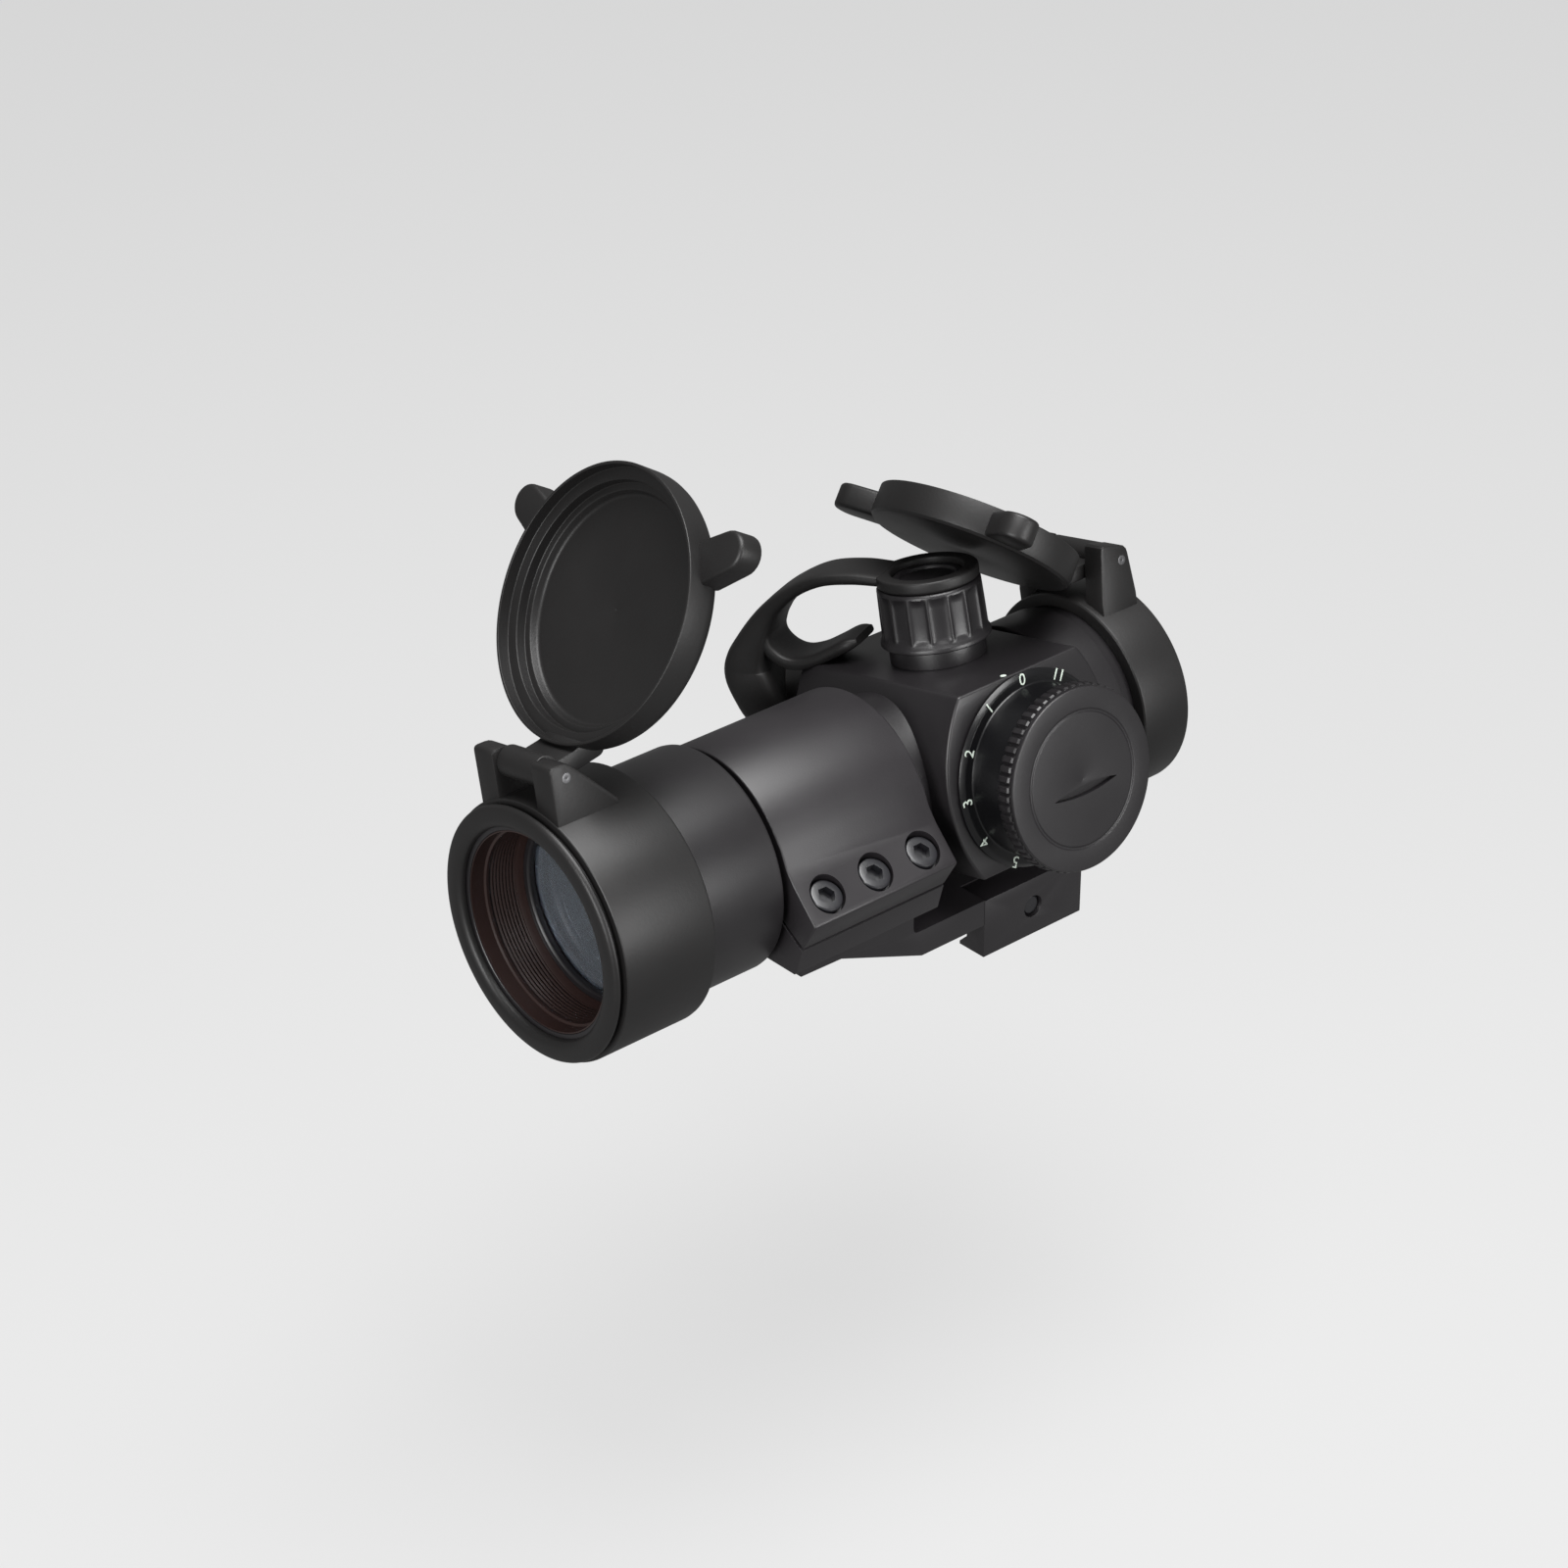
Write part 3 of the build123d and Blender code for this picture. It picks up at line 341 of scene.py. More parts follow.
seal_black = finish("seal_rubber", (0.015, 0.015, 0.015), 0.55)
number_white = finish("number_paint", (0.55, 0.62, 0.55), 0.5, grain=3000)
dot_red = finish("emitter_red", (0.3, 0.01, 0.01), 0.2)
objective_glass = glass("objective_glass", (0.8, 0.86, 0.92), (0.8, 0.88, 1.0))
eyepiece_glass = glass("eyepiece_glass", (0.92, 0.95, 0.96), (0.8, 0.9, 0.85))
mirror_glass = glass("mirror_glass", (0.75, 0.6, 0.6), (1.0, 0.45, 0.4), 0.04)


# ---- main tube and turret block ---------------------------------------------------------

tube = turned(rounded([
    (tube_end_x, 14.0), (tube_end_x, 16.5), (-19.5, 16.5), (-19.5, 17.2, 0.5), (-9.0, 17.2),
    (-9.0, tube_radius), (shoulder_x, tube_radius), (shoulder_x, 19.6, 0.6),
    (96.3, 19.6), (96.3, 17.2), (79.3, 17.2), (79.3, 13.0),
    (-25.6, 13.0), (-25.6, 14.0),
], 0.25), in_tube() @ along_tube, 192)
bow_radius = (5.2 ** 2 + 16.3 ** 2) / (2 * 5.2)
bow_reach = math.degrees(math.asin(16.3 / bow_radius))
block_outline = arc((18.8 - bow_radius, 0.7), bow_radius, -bow_reach, bow_reach, 28)
block_outline += arc((bow_radius - 18.8, 0.7), bow_radius, 180 - bow_reach, 180 + bow_reach, 28)
block = prism([(x, -z) for x, z in block_outline], -block_side, block_side,
              in_tube() @ from_dial_side, 0.45, 3, 25)
main_tube = smooth(to_object("main_tube_body", [tube, block], anodised))
pocket = turned([(14.5, 0), (14.5, 12.8), (22, 12.8), (22, 0)], in_tube() @ from_dial_side, 96)
cut(main_tube, [pocket])
smooth(main_tube)
piece(main_tube, "tube", "tube_black", "main_tube")

index_mark = turned(rounded([
    (block_top - 0.2, 0), (block_top - 0.2, 0.55), (block_top + 0.04, 0.55), (block_top + 0.04, 0),
], 0.1), in_tube() @ Matrix.Translation((turret_x + 2.6, block_side - 1.0, 0)), 24)
piece(smooth(to_object("index_dot", index_mark, number_white)), "tube", "tube_black")


# ---- objective cell, lenses and eyepiece --------------------------------------------------

def threads(start, end, radius, depth, pitch):
    """Saw-tooth points down a bore from start to end."""
    points = []
    count = int(abs(end - start) / pitch)
    step = (end - start) / count
    for k in range(count):
        x = start + k * step
        points += [(x, radius), (x + step * 0.45, radius - depth), (x + step * 0.6, radius - depth)]
    return points


cell = [(80.4, 17.15), (96.1, 17.15), (96.1, 16.95), (93.6, 16.9), (93.4, 16.5), (92.9, 16.5), (92.7, 16.8)]
cell += threads(92.4, 87.2, 16.8, 0.16, 0.65)
cell += [(87.0, 16.4), (86.7, 16.3), (86.2, 16.1), (81.6, 16.1), (81.6, 14.8), (80.4, 14.8)]
cell_threads = to_object("objective_cell_threads", turned(cell, in_tube() @ along_tube, 128), thread_brown)
piece(smooth(cell_threads, 20), "tube", "tube_black", "objective_cell")


def lens(radius, back, front, bulge, steps=14):
    """Domed lens about the tube's axis."""
    dome = (radius * radius + bulge * bulge) / (2 * bulge)
    points = [(back, 0), (back, radius)]
    for k in range(steps + 1):
        r = radius * (1 - k / steps)
        points.append((front - dome + math.sqrt(dome * dome - r * r), r))
    return turned(points, in_tube() @ along_tube, 96)


piece(smooth(to_object("objective_lens_dome", lens(16.0, 81.65, 84.8, 1.0), objective_glass)),
      "tube", "objective_glass", "objective_lens")
retaining = turned(rounded([(84.9, 14.8), (84.9, 16.05), (86.2, 16.05), (86.2, 15.1), (85.8, 14.8)], 0.12),
                   in_tube() @ along_tube, 128)
retainer = smooth(to_object("objective_retainer", retaining, anodised))
piece(retainer, "tube", "tube_black", "objective_retaining_ring")
window = turned(rounded([(-28.7, 0), (-28.7, 13.9), (-26.7, 13.9), (-26.7, 0)], 0.2),
                in_tube() @ along_tube, 96)
window_plate = smooth(to_object("eyepiece_glass_plate", window, eyepiece_glass))
piece(window_plate, "tube", "eyepiece_glass", "eyepiece_window")
eye_ring = turned(rounded([
    (-31.8, 12.5), (-31.8, 13.95), (-28.75, 13.95), (-28.75, 12.3), (-31.0, 12.3),
], 0.15), in_tube() @ along_tube, 128)
eye_ring_piece = to_object("eyepiece_retainer", eye_ring, anodised)
spanner_slot = [(-0.8, -15), (0.8, -15), (0.8, 15), (-0.8, 15)]
cut(eye_ring_piece, [prism(spanner_slot, -32.5, -30.9, in_tube() @ along_tube, 0)])
piece(smooth(eye_ring_piece), "tube", "tube_black", "eyepiece_ring")


# ---- brightness dial and battery cap ------------------------------------------------------

def notched(first, last, teeth, depth, width):
    """Rim with narrow notches, between two heights."""
    def shape(height, angle, radius):
        if not first <= height <= last:
            return radius
        phase = (angle * teeth / (2 * math.pi)) % 1.0
        off = abs(phase - 0.5) * 2
        dip = max(0.0, 1 - off / width)
        return radius - depth * (1 - (1 - dip) ** 2) if radius > 15.0 else radius
    return shape


rim = [(28.0, 11.8), (28.0, 15.2), (28.35, 15.75), (28.8, 16.0), (29.4, 16.0), (30.1, 16.0), (30.7, 16.0),
       (31.0, 15.8), (31.1, 15.4), (31.1, 11.8)]
dial_rim = turned(rim, in_tube() @ from_dial_side, 720, notched(27.9, 31.2, 60, 0.55, 0.45))
dial_skirt = turned(rounded([
    (18.5, 11.0), (20.2, 11.6), (20.2, 17.0, 0.2), (20.95, 16.2, 0.2), (21.0, 14.6, 0.5), (28.2, 14.6),
    (28.2, 11.8), (26.0, 11.8),
], 0.15), in_tube() @ from_dial_side, 160)
dial_hub = turned([(17.1, 4.0), (17.1, 12.5), (18.3, 12.5), (18.3, 11.6), (25.8, 11.6), (25.8, 4.0)],
                  in_tube() @ from_dial_side, 96)
knurled = smooth(to_object("dial_rim_knurled", [dial_rim, dial_hub], anodised))
piece(knurled, "dial", "tube_black", "brightness_dial")
skirt = smooth(to_object("dial_skirt_black", dial_skirt, dial_black))
piece(skirt, "dial", "tube_black", "brightness_dial")
dial_plate = turned(rounded([(19.7, 11.65), (19.7, 15.2), (20.1, 15.2), (20.1, 11.65)], 0.1),
                    in_tube() @ from_dial_side, 96)
piece(smooth(to_object("dial_base_plate", dial_plate, dial_black)), "tube", "tube_black", "dial_plate")

cap_disc = turned(rounded([
    (26.9, 0), (26.9, 11.7), (31.12, 11.7), (31.12, 15.7), (31.9, 15.7, 0.35), (31.9, 12.0, 0.1),
    (31.72, 11.8, 0.1), (31.72, 11.5, 0.1), (31.9, 11.3, 0.1), (31.9, 0),
], 0.1), in_tube() @ from_dial_side, 192)
battery_cap = to_object("battery_cap_disc", cap_disc, anodised)
slot_ends = arc((-0.5, 31.0), 30.0, -104.1, -75.9, 24)[:-1]
slot_ends += arc((-0.5, -27.2), 30.0, 75.9, 104.1, 24)[:-1]
slot_tool = prism(slot_ends, 30.9, 33.0, in_tube() @ from_dial_side, 0)
cut(battery_cap, [slot_tool])
piece(smooth(battery_cap), "battery_cap", "tube_black", "battery_cap")


def number(text, angle, size=3.0):
    """A painted number lying on the dial's skirt, its foot towards the middle of the dial."""
    curve = bpy.data.curves.new("number_" + text, "FONT")
    curve.body = text
    curve.size = size * MM
    curve.align_x = "CENTER"
    curve.align_y = "CENTER"
    curve.extrude = 0.02 * MM
    letter = bpy.data.objects.new("number_" + text, curve)
    bpy.context.scene.collection.objects.link(letter)
    bpy.context.view_layer.update()
    shape = bpy.data.meshes.new_from_object(letter.evaluated_get(bpy.context.evaluated_depsgraph_get()))
    bpy.data.objects.remove(letter)
    a = math.radians(angle)
    radius = 15.95
    outward = Vector((math.cos(a), 0, math.sin(a)))
    normal = Vector((0, 1, 0))
    across = outward.cross(normal)
    basis = Matrix.Identity(4)
    for row in range(3):
        basis[row][0] = across[row]
        basis[row][1] = outward[row]
        basis[row][2] = normal[row]
    place = Matrix.Translation((turret_x + radius * outward.x, 21.0, radius * outward.z)) @ basis
    shape.transform(Matrix.Scale(1 / MM, 4))
    shape.transform(in_tube() @ place)
    shape.transform(Matrix.Scale(MM, 4))
    mark = bpy.data.objects.new("dial_number_" + text, shape)
    bpy.context.scene.collection.objects.link(mark)
    shape.materials.clear()
    shape.materials.append(number_white)
    return piece(mark, "dial", "tube_black")


for position in range(12):
    number(str(position), 88 - 30 * position, 2.9)


# ---- turrets ---------------------------------------------------------------------------

def fluted(first, last, flutes, depth):
    """Cap wall with round flutes between two heights."""
    def shape(height, angle, radius):
        if radius < 7.6 or not first <= height <= last:
            return radius
        phase = (angle * flutes / (2 * math.pi)) % 1.0
        off = abs(phase - 0.5) * 2
        fade = min(1.0, (height - first) / 0.5, (last - height) / 0.5)
        return radius - depth * max(0.0, fade) * math.sqrt(max(0.0, 1 - min(1.0, off / 0.86) ** 2))
    return shape


def turret(which, place, wall_face):
    seat = turned(rounded([
        (wall_face, 2.55), (wall_face, 5.9), (0, 5.9), (0, 8.3), (3.0, 8.3, 0.3), (3.0, 6.6), (9.8, 6.6),
        (9.8, 5.3), (5.4, 5.3), (5.4, 2.55),
    ], 0.15), in_tube() @ place, 96)
    piece(smooth(to_object(which + "_turret_seat", seat, anodised)), "tube", "tube_black", which + "_seat")
    heights = [3.1, 3.3, 3.8, 4.0, 4.5, 4.8, 5.1, 5.6, 8.0, 11.0, 12.2, 12.6, 12.9, 13.2, 13.4]
    radii = [9.3, cap_skirt_radius, cap_skirt_radius, 9.4, 9.1, 9.1, 9.1, 9.08,
             9.05, 8.98, 8.95, 8.93, 8.9, 8.75, 8.4]
    outline = [(3.1, 6.65)] + list(zip(heights, radii))
    outline += rounded([(13.4, 6.1, 0.1), (14.45, 6.0, 0.3), (14.45, 4.9, 0.2), (13.9, 4.7, 0.1)], 0.1,
                       closed=False)
    outline += [(13.9, 0), (10.4, 0), (10.4, 6.65)]
    cap = turned(outline, in_tube() @ place, 384, fluted(4.7, 12.6, 16, 0.45))
    cap_piece = smooth(to_object(which + "_turret_cap", cap, anodised), 40)
    piece(cap_piece, which + "_cap", "tube_black", which + "_cap")


turret("elevation", from_top, 13.6 - block_top)
turret("windage", from_windage_side, 13.6 - block_side)


# ---- flip-up covers ----------------------------------------------------------------------

def side_plate(outline, start, end, place, edge=0.35, radius=0.4):
    """Outline in (x, z), thick along Y, on both sides of the middle."""
    flat = [(x, -z) for x, z in rounded(outline, radius)]
    turn = place @ facing((0, 1, 0))
    return prism(flat, start, end, turn, edge, 2, 40)


def thumb_tab(side, reach, root, start, end, place):
    """Round-ended tab at the edge of a lid, drawn shut."""
    width = 6.5
    flat = arc((reach - width / 2, 0), width / 2, -90, 90, 14)
    flat += [(root, width / 2 + 0.4), (root, -width / 2 - 0.4)]
    tilt = math.radians(-27 if side > 0 else 207)
    turn = Matrix.Rotation(tilt, 4, "X")
    return prism(flat, start, end, place @ turn @ along_tube, 0.7, 3, 40)


def barrel(radius, start, end, place):
    return turned(rounded([(start, 0), (start, radius), (end, radius), (end, 0)], 0.25), place, 64)


front_pin = (lip_x - 5.3, 27.2)
front_place = in_tube(front_cover_roll)
front_ring = turned(rounded([
    (77.5, 19.65), (77.5, 22.3, 0.7), (95.7, 22.3, 0.4), (95.7, 20.7, 0.1), (96.6, 20.7, 0.1),
    (96.6, 21.9, 0.5),
    (97.5, 21.6, 0.5), (97.8, 20.4, 0.6), (97.8, 19.0, 0.5), (97.3, 18.1, 0.5), (96.4, 17.9), (96.4, 19.65),
], 0.15), front_place @ along_tube, 224)
front_meshes = [front_ring]
front_ear = [(95.5, 19.5), (95.5, 29.7, 0.9), (92.1, 29.7, 1.2), (83.3, 20.6), (83.3, 19.5)]
for start, end in ((5.0, 10.0), (-10.0, -5.0)):
    front_meshes.append(side_plate(front_ear, start, end, front_place, 0.45))
front_cover = smooth(to_object("front_cover_ring", front_meshes, cover_black))
piece(front_cover, "tube", "cover_black", "front_cover")
pin_place = front_place @ facing((0, 1, 0), (front_pin[0], 0, front_pin[1]))
front_cover_pin = smooth(to_object("front_cover_pin", barrel(0.99, -9.9, 10.02, pin_place), steel))
piece(front_cover_pin, "tube", "plain_steel", "front_hinge_pin")

lid_swing = front_place @ swung(-front_lid_angle, *front_pin)
front_lid_disc = turned(rounded([
    (96.0, 22.35, 0.15), (96.0, 22.9, 0.3), (101.2, 22.7, 1.2), (102.8, 21.4, 0.8), (102.8, 0), (101.3, 0),
    (101.3, 18.6, 0.5), (99.9, 19.1, 0.2), (99.9, 20.3, 0.2), (98.1, 20.3, 0.25), (98.1, 22.35, 0.2),
], 0.2), lid_swing @ along_tube, 224)
front_lid_meshes = [front_lid_disc]
for side in (1, -1):
    front_lid_meshes.append(thumb_tab(side, 31.9, 21.4, 98.2, 102.9, lid_swing))
front_lid_meshes.append(side_plate([
    (92.0, 29.6, 0.8), (94.5, 29.2, 0.8), (102.6, 22.4, 0.8), (102.6, 20.8), (98.5, 20.8), (97.0, 22.9),
    (94.2, 25.2),
], -4.7, 4.7, lid_swing, 0.5))
front_barrel_place = lid_swing @ facing((0, 1, 0), (front_pin[0], 0, front_pin[1]))
front_lid_meshes.append(barrel(2.6, -4.7, 4.7, front_barrel_place))
front_lid = to_object("front_lid_cup", front_lid_meshes, cover_black)
piece(smooth(front_lid), "front_lid", "cover_black", "front_lid")

rear_pin = (rear_back_x + 3.7, 24.4)
rear_place = in_tube()
rear_ring = turned(rounded([
    (rear_back_x, 18.9, 0.4), (rear_front_x, 18.9, 0.7), (rear_front_x, 16.55), (tube_end_x, 16.55),
    (tube_end_x, 14.3), (rear_back_x - 0.9, 14.3), (rear_back_x - 0.9, 16.4, 0.25), (rear_back_x, 16.4),
], 0.15), rear_place @ along_tube, 192)
rear_meshes = [rear_ring]
for start, end in ((6.2, 10.5), (-10.5, -6.2)):
    rear_meshes.append(side_plate([
        (-31.5, 14.9), (-31.5, 18.0), (-30.5, 26.7, 1.3), (-24.6, 28.3, 1.3), (-23.3, 18.0), (-23.3, 14.9),
    ], start, end, rear_place, 0.5))
rear_cover = to_object("rear_cover_ring", rear_meshes, cover_black)
cut(rear_cover, [turned([(-32.05, 0), (-32.05, 16.5), (-20, 16.5), (-20, 0)], rear_place @ along_tube, 96)])
piece(smooth(rear_cover), "tube", "cover_black", "rear_cover")
rear_pin_place = rear_place @ facing((0, 1, 0), (rear_pin[0], 0, rear_pin[1]))
rear_cover_pin = smooth(to_object("rear_cover_pin", barrel(0.99, -9.9, 10.52, rear_pin_place), steel))
piece(rear_cover_pin, "tube", "plain_steel", "rear_hinge_pin")

rear_swing = rear_place @ swung(rear_lid_angle, *rear_pin)
rim_x = rear_back_x - 0.3
rear_lid_meshes = [turned(rounded([
    (rim_x, 16.9, 0.2), (rim_x, 18.0, 0.3), (rim_x - 5.7, 18.0, 1.3), (rim_x - 5.7, 0), (rim_x - 3.9, 0),
    (rim_x - 3.9, 15.7, 0.4), (rim_x - 2.5, 15.9, 0.2), (rim_x - 2.5, 16.9, 0.2),
], 0.2), rear_swing @ along_tube, 192)]
for side in (1, -1):
    rear_lid_meshes.append(thumb_tab(side, 26.0, 17.2, rim_x - 5.2, rim_x - 0.8, rear_swing))
rear_lid_meshes.append(side_plate([
    (-28.0, 26.5, 0.8), (-30.2, 26.4, 0.8), (-38.0, 17.6, 0.8), (-38.0, 16.9), (-33.4, 16.9),
    (-33.2, 19.2), (-30.4, 22.6),
], -5.8, 5.8, rear_swing, 0.5))
rear_barrel_place = rear_swing @ facing((0, 1, 0), (rear_pin[0], 0, rear_pin[1]))
rear_lid_meshes.append(barrel(2.4, -5.8, 5.8, rear_barrel_place))
piece(smooth(to_object("rear_lid_cup", rear_lid_meshes, cover_black)), "rear_lid", "cover_black", "rear_lid")


# ---- rubber strap that keeps the turret caps ----------------------------------------------

def smooth_run(points, steps):
    """Points on a smooth curve through the given ones."""
    points = [Vector(p) for p in points]
    points = [points[0] * 2 - points[1]] + points + [points[-1] * 2 - points[-2]]
    result = []
    for i in range(1, len(points) - 2):
        a, b, c, d = points[i - 1:i + 3]
        for k in range(steps):
            t = k / steps
            result.append(0.5 * ((2 * b) + (c - a) * t + (2 * a - 5 * b + 4 * c - d) * t ** 2
                                 + (3 * b - a - 3 * c + d) * t ** 3))
    result.append(points[-2])
    return result


def band(points, widths, across, thicknesses, place, steps=8):
    """Rounded flat band along a smooth run; across gives its width direction at each point."""
    run = smooth_run(points, steps)
    wide = smooth_run([(w, t, 0) for w, t in zip(widths, thicknesses)], steps)
    sides = smooth_run(across, steps)
    mesh = bmesh.new()
    rings = []
    for i, point in enumerate(run):
        ahead = (run[min(i + 1, len(run) - 1)] - run[max(i - 1, 0)]).normalized()
        side = sides[i] - ahead * sides[i].dot(ahead)
        side.normalize()
        up = ahead.cross(side)
        half, thick = wide[i][0] / 2, wide[i][1] / 2
        ring = []
        for k in range(20):
            a = 2 * math.pi * k / 20
            u = math.copysign(abs(math.cos(a)) ** 0.35, math.cos(a)) * half
            v = math.copysign(abs(math.sin(a)) ** 0.5, math.sin(a)) * thick
            ring.append(mesh.verts.new(point + side * u + up * v))
        rings.append(ring)
    for low, high in zip(rings, rings[1:]):
        for k in range(20):
            n = (k + 1) % 20
            mesh.faces.new((low[k], low[n], high[n], high[k]))
    mesh.faces.new(list(reversed(rings[0])))
    mesh.faces.new(rings[-1])
    bmesh.ops.recalc_face_normals(mesh, faces=mesh.faces)
    mesh.transform(place)
    return mesh


heading = Vector((0.457, -0.889, 0.0))
level = Vector((0.889, 0.457, 0.0))
strap_ring = turned(rounded([(30.5, 6.25), (30.5, 8.8), (32.5, 8.8), (32.5, 6.25)], 0.45),
                    in_tube() @ Matrix.Translation((turret_x, 0, 0)), 96)
strap_cuff = turned(rounded([(7.6, 9.2), (7.6, 13.5), (14.6, 13.5), (14.6, 9.2)], 1.3),
                    in_tube() @ from_windage_side, 96)


def over_side(reach, height):
    """Point above or beside the block, out from the elevation turret along the strap's heading."""
    return Vector((turret_x, 0, height)) + heading * reach


strap_points = [over_side(reach, height) for reach, height in (
    (7.0, strap_lay), (12.5, strap_lay + 0.6), (18.5, strap_lay + 0.3), (24.2, strap_lay - 1.9),
    (29.0, strap_lay - 5.6), (32.4, strap_lay - 10.6), (34.4, strap_lay - 15.4), (33.8, strap_lay - 20.4))]
strap_points += [Vector((turret_x + 12.9, -31.3, 5.5)), Vector((turret_x + 10.6, -30.9, 1.5))]
strap_across = [level] * 7 + [(0.75, 0.62, 0), (0.5, 0.85, 0), (0.35, 0.93, 0)]
strap_widths = [9.6, 9.8, 9.8, 9.8, 10.2, 11.2, 12.0, 12.0, 10.0, 8.0]
strap_thicknesses = [2.0, 2.3, 2.4, 2.6, 3.6, 6.0, 8.0, 8.0, 6.0, 3.0]
strap_run = band(strap_points, strap_widths, strap_across, strap_thicknesses, in_tube())
tongue_points = [over_side(reach, height) for reach, height in (
    (27.8, 26.6), (29.8, 23.4), (30.0, 20.6), (28.2, 18.2), (25.4, 17.0), (21.8, 17.4), (18.2, 18.8),
    (15.0, 20.2), (13.0, 20.8))]
tongue_run = band(tongue_points, [9.6] * 8 + [8.0], [level] * 9, [2.4] * 8 + [1.4], in_tube())
strap = to_object("cap_keeper_strap", [strap_ring, strap_cuff, strap_run, tongue_run], rubber)
piece(smooth(strap, 45), "tube", "strap_rubber", "cap_strap")


# ---- ring mount --------------------------------------------------------------------------

ring_place = Matrix.Translation((0, 0, axis_height)) @ along_tube
flange_lean = math.radians(33.0)
in_along = Vector((-math.cos(flange_lean), math.sin(flange_lean)))


def split_at(y):
    """Height of the split between the ring's halves on the screw side."""
    return -7.95 + (22.1 - y) * math.tan(flange_lean)


split_angle = math.degrees(math.atan2(split_at(14.72), 14.72))
cap_outline = arc((0, 0), ring_bore, split_angle, 180, 60)
cap_outline += [(-ring_outer, 0)]
cap_outline += arc((0, 0), ring_outer, 179, 34, 56)
fillet_points = [(16.9, 8.2), (18.2, 5.3), (20.0, 2.9)]
cap_outline += fillet_points + [(25.0, -2.2), (25.25, -2.6), (22.2, -7.9)]
cap_blank = prism(cap_outline, ring_back_x, ring_front_x, ring_place, 0.4, 3, 35)
cap = to_object("ring_upper_half", cap_blank, mount_black)


def screw_place(index):
    x = 43.9 + (index - 1) * 10.4
    spot = Vector((25.2, -2.3)) + in_along * 4.0
    return Matrix.Translation((x, spot.x, axis_height + spot.y)) @ Matrix.Rotation(-flange_lean, 4, "X")


cut(cap, [turned([(-1.5, 0), (-1.5, 3.3), (8.0, 3.3), (8.0, 0)], screw_place(i), 48) for i in range(3)])
cut(cap, [turned([(-12, 0), (-12, 1.85), (2.0, 1.85), (2.0, 0)], screw_place(i), 32) for i in range(3)])
piece(smooth(cap), "mount", "mount_black", "ring_cap")

screws = []
for index in range(3):
    screw = rounded([(-11.0, 0), (-11.0, 1.73), (-1.5, 1.73), (-1.5, 2.9), (0.5, 2.9, 0.5), (0.5, 0)], 0.1)
    screws.append(turned(screw, screw_place(index), 64))
screw_piece = to_object("ring_screw_heads", screws, screw_black)
hexagon = [(1.6 * math.cos(math.pi * k / 3), 1.6 * math.sin(math.pi * k / 3)) for k in range(6)]
cut(screw_piece, [prism(hexagon, -0.9, 2.0, screw_place(i), 0) for i in range(3)])
piece(smooth(screw_piece), "mount", "screw_black", "ring_screws")

low_outline = arc((0, 0), ring_bore, 180, 360 + split_angle - 1.8, 60)
low_outline += [(22.0, -8.4), (20.7, -13.2), (20.2, -13.6), (12.55, -13.6)]
low_outline += arc((0, 0), ring_outer, -48, -180, 50) + [(-ring_outer, -0.5)]
lower_ring = prism(low_outline, ring_back_x, ring_front_x, ring_place, 0.4, 3, 35)
beam_outline = rounded([
    (-jaw_half_length, 0), (26.25, 0), (44.6, 7.0), (44.6, 7.0), (53.5, 7.2), (53.5, 14.5),
    (ring_back_x, 14.5), (ring_back_x, 5.0, 1.2), (-jaw_half_length, 5.0),
], 0.01)
beam = prism([(x, -z) for x, z in beam_outline], -base_half_width, base_half_width, facing((0, 1, 0)), 0.0)
fixed_jaw = prism([
    (-jaw_half_length, 6.5), (jaw_half_length, 6.5), (jaw_half_length, -1.0), (-jaw_half_length, -1.0),
], -base_half_width, -7.0, facing((0, 1, 0)), 0.0)
rail_outline = [(-7.93, 0), (-10.7, -2.77), (-10.7, -4.17), (-8.37, -6.5), (-8.37, -8),
                (8.37, -8), (8.37, -6.5), (10.7, -4.17), (10.7, -2.77), (7.93, 0)]
rail_tool = prism(rail_outline, -60, 120, along_tube, 0)
bore_tool = turned([(0, 0), (0, ring_bore), (90, ring_bore), (90, 0)], ring_place, 128)
jaw_bay = prism([(-13, 8), (11.75, 8), (11.75, -6.5), (-13, -6.5)], 8.9, 17, facing((0, 1, 0)), 0)
along_bolt = facing((0, 1, 0), (0, 0, -bolt_drop))
bolt_tool = turned([(-17, 0), (-17, bolt_hole), (9.5, bolt_hole), (9.5, 0)], along_bolt, 48)
base = to_object("base_beam", beam, mount_black)
jaw_half = to_object("base_fixed_jaw", fixed_jaw, mount_black)
union = base.modifiers.new("join", "BOOLEAN")
union.operation = "UNION"
union.solver = "EXACT"
union.object = jaw_half
bpy.context.view_layer.update()
base.data = bpy.data.meshes.new_from_object(base.evaluated_get(bpy.context.evaluated_depsgraph_get()))
base.modifiers.clear()
bpy.data.objects.remove(jaw_half)
groove_tool = prism([
    (-bolt_hole, bolt_drop), (bolt_hole, bolt_drop), (bolt_hole, bolt_drop - bolt_hole),
    (-bolt_hole, bolt_drop - bolt_hole),
], -7.93, 15.5, facing((0, 1, 0)), 0)
cut(base, [bore_tool, rail_tool, jaw_bay, bolt_tool, groove_tool])
soften(base, 0.4, 35)
ring_low = to_object("base_lower_ring", lower_ring, mount_black)
thread_hole = [(-12, 0), (-12, 1.75), (-1.0, 1.75), (-1.0, 0)]
cut(ring_low, [turned(thread_hole, screw_place(i), 32) for i in range(3)])
piece(smooth(base), "mount", "mount_black", "mount_base")
piece(smooth(ring_low), "mount", "mount_black", "mount_base")

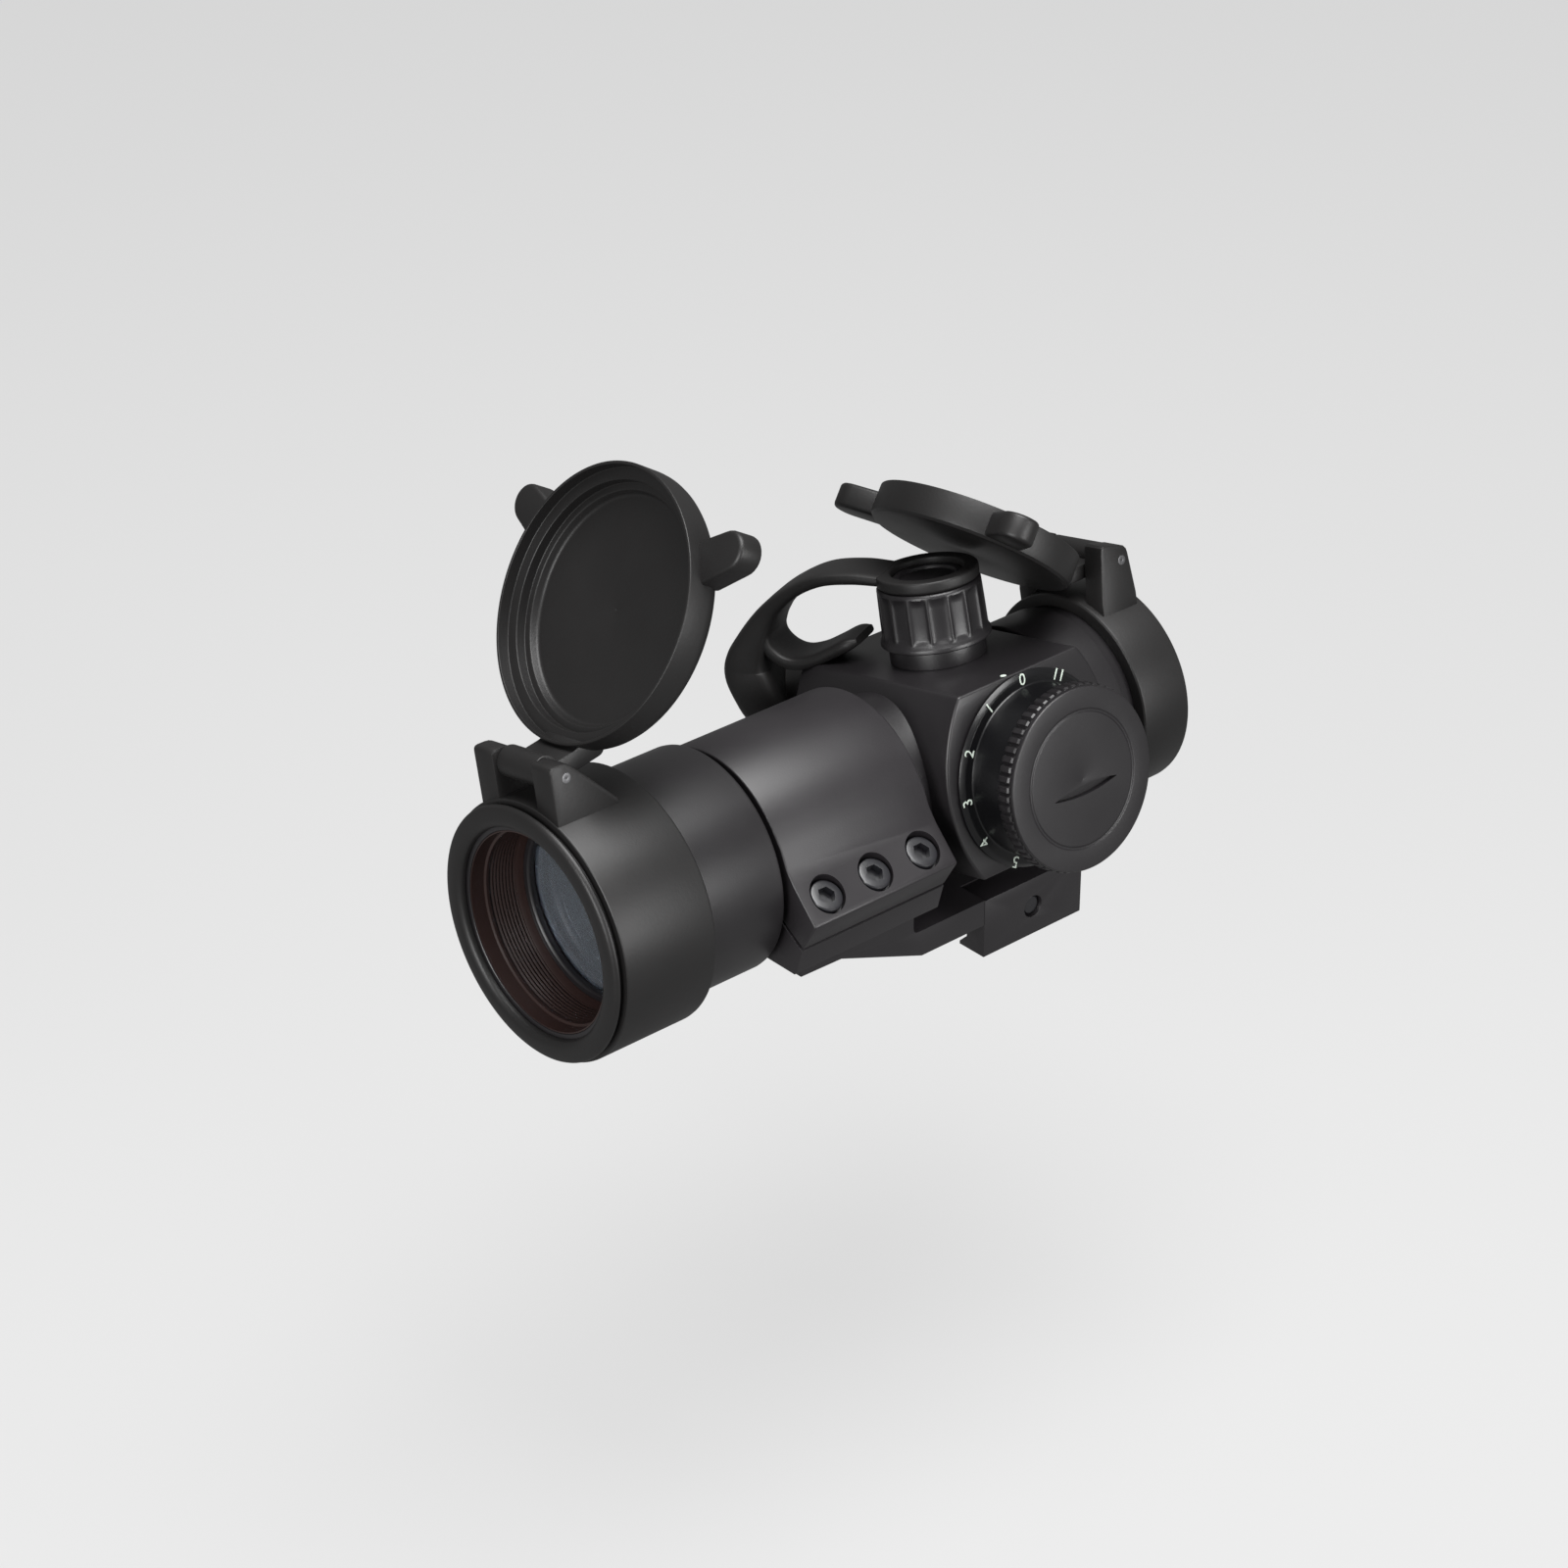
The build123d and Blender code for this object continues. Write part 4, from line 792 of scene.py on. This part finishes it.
jaw_blank = prism([
    (-jaw_half_length, 6.5), (jaw_half_length, 6.5), (jaw_half_length, -4.8), (-jaw_half_length, -4.8),
], 9.0, base_half_width, facing((0, 1, 0)), 0)
jaw = to_object("rail_jaw", jaw_blank, mount_black)
cut(jaw, [prism(rail_outline, -60, 120, along_tube, 0),
          turned([(2, 0), (2, bolt_hole), (17, bolt_hole), (17, 0)], along_bolt, 48)])
soften(jaw, 0.45, 35)
piece(smooth(jaw), "jaw", "mount_black", "clamp_jaw")


def coin_edge(height, angle, radius):
    """Straight knurl round the clamp bolt's head."""
    if radius < 5.6 or not -21.3 < height < -16.4:
        return radius
    return radius - 0.3 * abs(math.sin(angle * 18))


bolt = turned(rounded([
    (-21.85, 0), (-21.85, 5.4, 0.2), (-21.2, 6.0, 0.1), (-16.5, 6.0, 0.1), (-15.85, 5.5, 0.2), (-15.85, 2.0),
    (14.0, 2.0), (14.5, 1.5), (14.5, 0),
], 0.1), along_bolt, 288, coin_edge)
bolt_piece = to_object("clamp_bolt_knob", bolt, screw_black)
cut(bolt_piece, [prism([(-0.8, -9), (0.8, -9), (0.8, 9), (-0.8, 9)], -23, -20.35, along_bolt, 0)])
piece(smooth(bolt_piece, 38), "bolt", "screw_black", "clamp_bolt")


# ---- CAD pieces that keep their own shape ---------------------------------------------------

kept = {
    "clamp_washer": screw_black, "clamp_spring": steel, "objective_seal": seal_black,
    "eyepiece_seal": seal_black,
    "inner_tube": anodised, "gimbal_ring": brass, "collimating_mirror": mirror_glass, "dot_emitter": dot_red,
    "inner_tube_spring": steel, "elevation_adjuster": brass, "windage_adjuster": brass,
    "elevation_cap_seal": seal_black, "windage_cap_seal": seal_black, "battery_cap_seal": seal_black,
    "battery": nickel, "circuit_board": board_green, "battery_contact": brass, "detent_ball": steel,
    "detent_spring": steel, "front_lid_spring": steel, "rear_lid_spring": steel,
}
for name, material in kept.items():
    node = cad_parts[name]
    node.data.materials.clear()
    node.data.materials.append(material)


# ---- floor, light and camera ----------------------------------------------------------------

def seen_only_by_camera(tree, strength, others):
    """Even pale tone for the camera; a dimmer one for what the object reflects."""
    path = tree.nodes.new("ShaderNodeLightPath")
    pick = tree.nodes.new("ShaderNodeMix")
    pick.inputs["A"].default_value = others
    pick.inputs["B"].default_value = strength
    tree.links.new(path.outputs["Is Camera Ray"], pick.inputs["Factor"])
    return pick.outputs["Result"]


floor_mesh = bmesh.new()
bmesh.ops.create_grid(floor_mesh, x_segments=1, y_segments=1, size=4000)
floor_mesh.transform(Matrix.Translation((0, 0, -90)))
paper = bpy.data.materials.new("paper")
paper.use_nodes = True
glow = paper.node_tree.nodes["Principled BSDF"]
glow.inputs["Base Color"].default_value = (0.12, 0.12, 0.12, 1)
glow.inputs["Roughness"].default_value = 1.0
glow.inputs["Specular IOR Level"].default_value = 0.0
glow.inputs["Emission Color"].default_value = (1, 1, 1, 1)
even = seen_only_by_camera(paper.node_tree, 0.6, 0.1)
paper.node_tree.links.new(even, glow.inputs["Emission Strength"])
to_object("floor", floor_mesh, paper)

world = bpy.data.worlds.new("studio")
bpy.context.scene.world = world
world.use_nodes = True
world.node_tree.nodes["Background"].inputs["Color"].default_value = (1, 1, 1, 1)
backdrop = seen_only_by_camera(world.node_tree, 0.78, 0.22)
world.node_tree.links.new(backdrop, world.node_tree.nodes["Background"].inputs["Strength"])


def softbox(name, at, size, power, aim=(30, 0, 25)):
    """Square studio light, place and size in millimetres."""
    data = bpy.data.lights.new(name, "AREA")
    data.shape = "SQUARE"
    data.size = size * MM
    data.energy = power
    lamp = bpy.data.objects.new(name, data)
    bpy.context.scene.collection.objects.link(lamp)
    lamp.location = Vector(at) * MM
    lamp.rotation_euler = (Vector(aim) - Vector(at)).to_track_quat("-Z", "Y").to_euler()
    return lamp


softbox("light_top", (0, 100, 700), 500, 9)
softbox("light_front", (700, 250, 250), 350, 5)
softbox("light_dial_side", (-150, 750, 200), 350, 4)

camera_data = bpy.data.cameras.new("camera")
camera = bpy.data.objects.new("camera", camera_data)
bpy.context.scene.collection.objects.link(camera)
bpy.context.scene.camera = camera
camera_data.sensor_width = 36.0
camera_data.lens = 91.86
camera_data.clip_start = 0.01
camera_data.clip_end = 20.0
turn_from_x = math.radians(48.75)
height_angle = math.radians(29.9)
toward = Vector((math.cos(turn_from_x) * math.cos(height_angle),
                 math.sin(turn_from_x) * math.cos(height_angle), math.sin(height_angle)))
right = Vector((-math.sin(turn_from_x), math.cos(turn_from_x), 0))
up = toward.cross(right)
spot = toward * 631.4 + right * 40.4 + up * 24.05 + Vector((lip_x, 0, axis_height))
camera.matrix_world = Matrix.Translation(spot * MM) @ Matrix((right, up, toward)).transposed().to_4x4()

bpy.context.scene.view_settings.view_transform = "Standard"
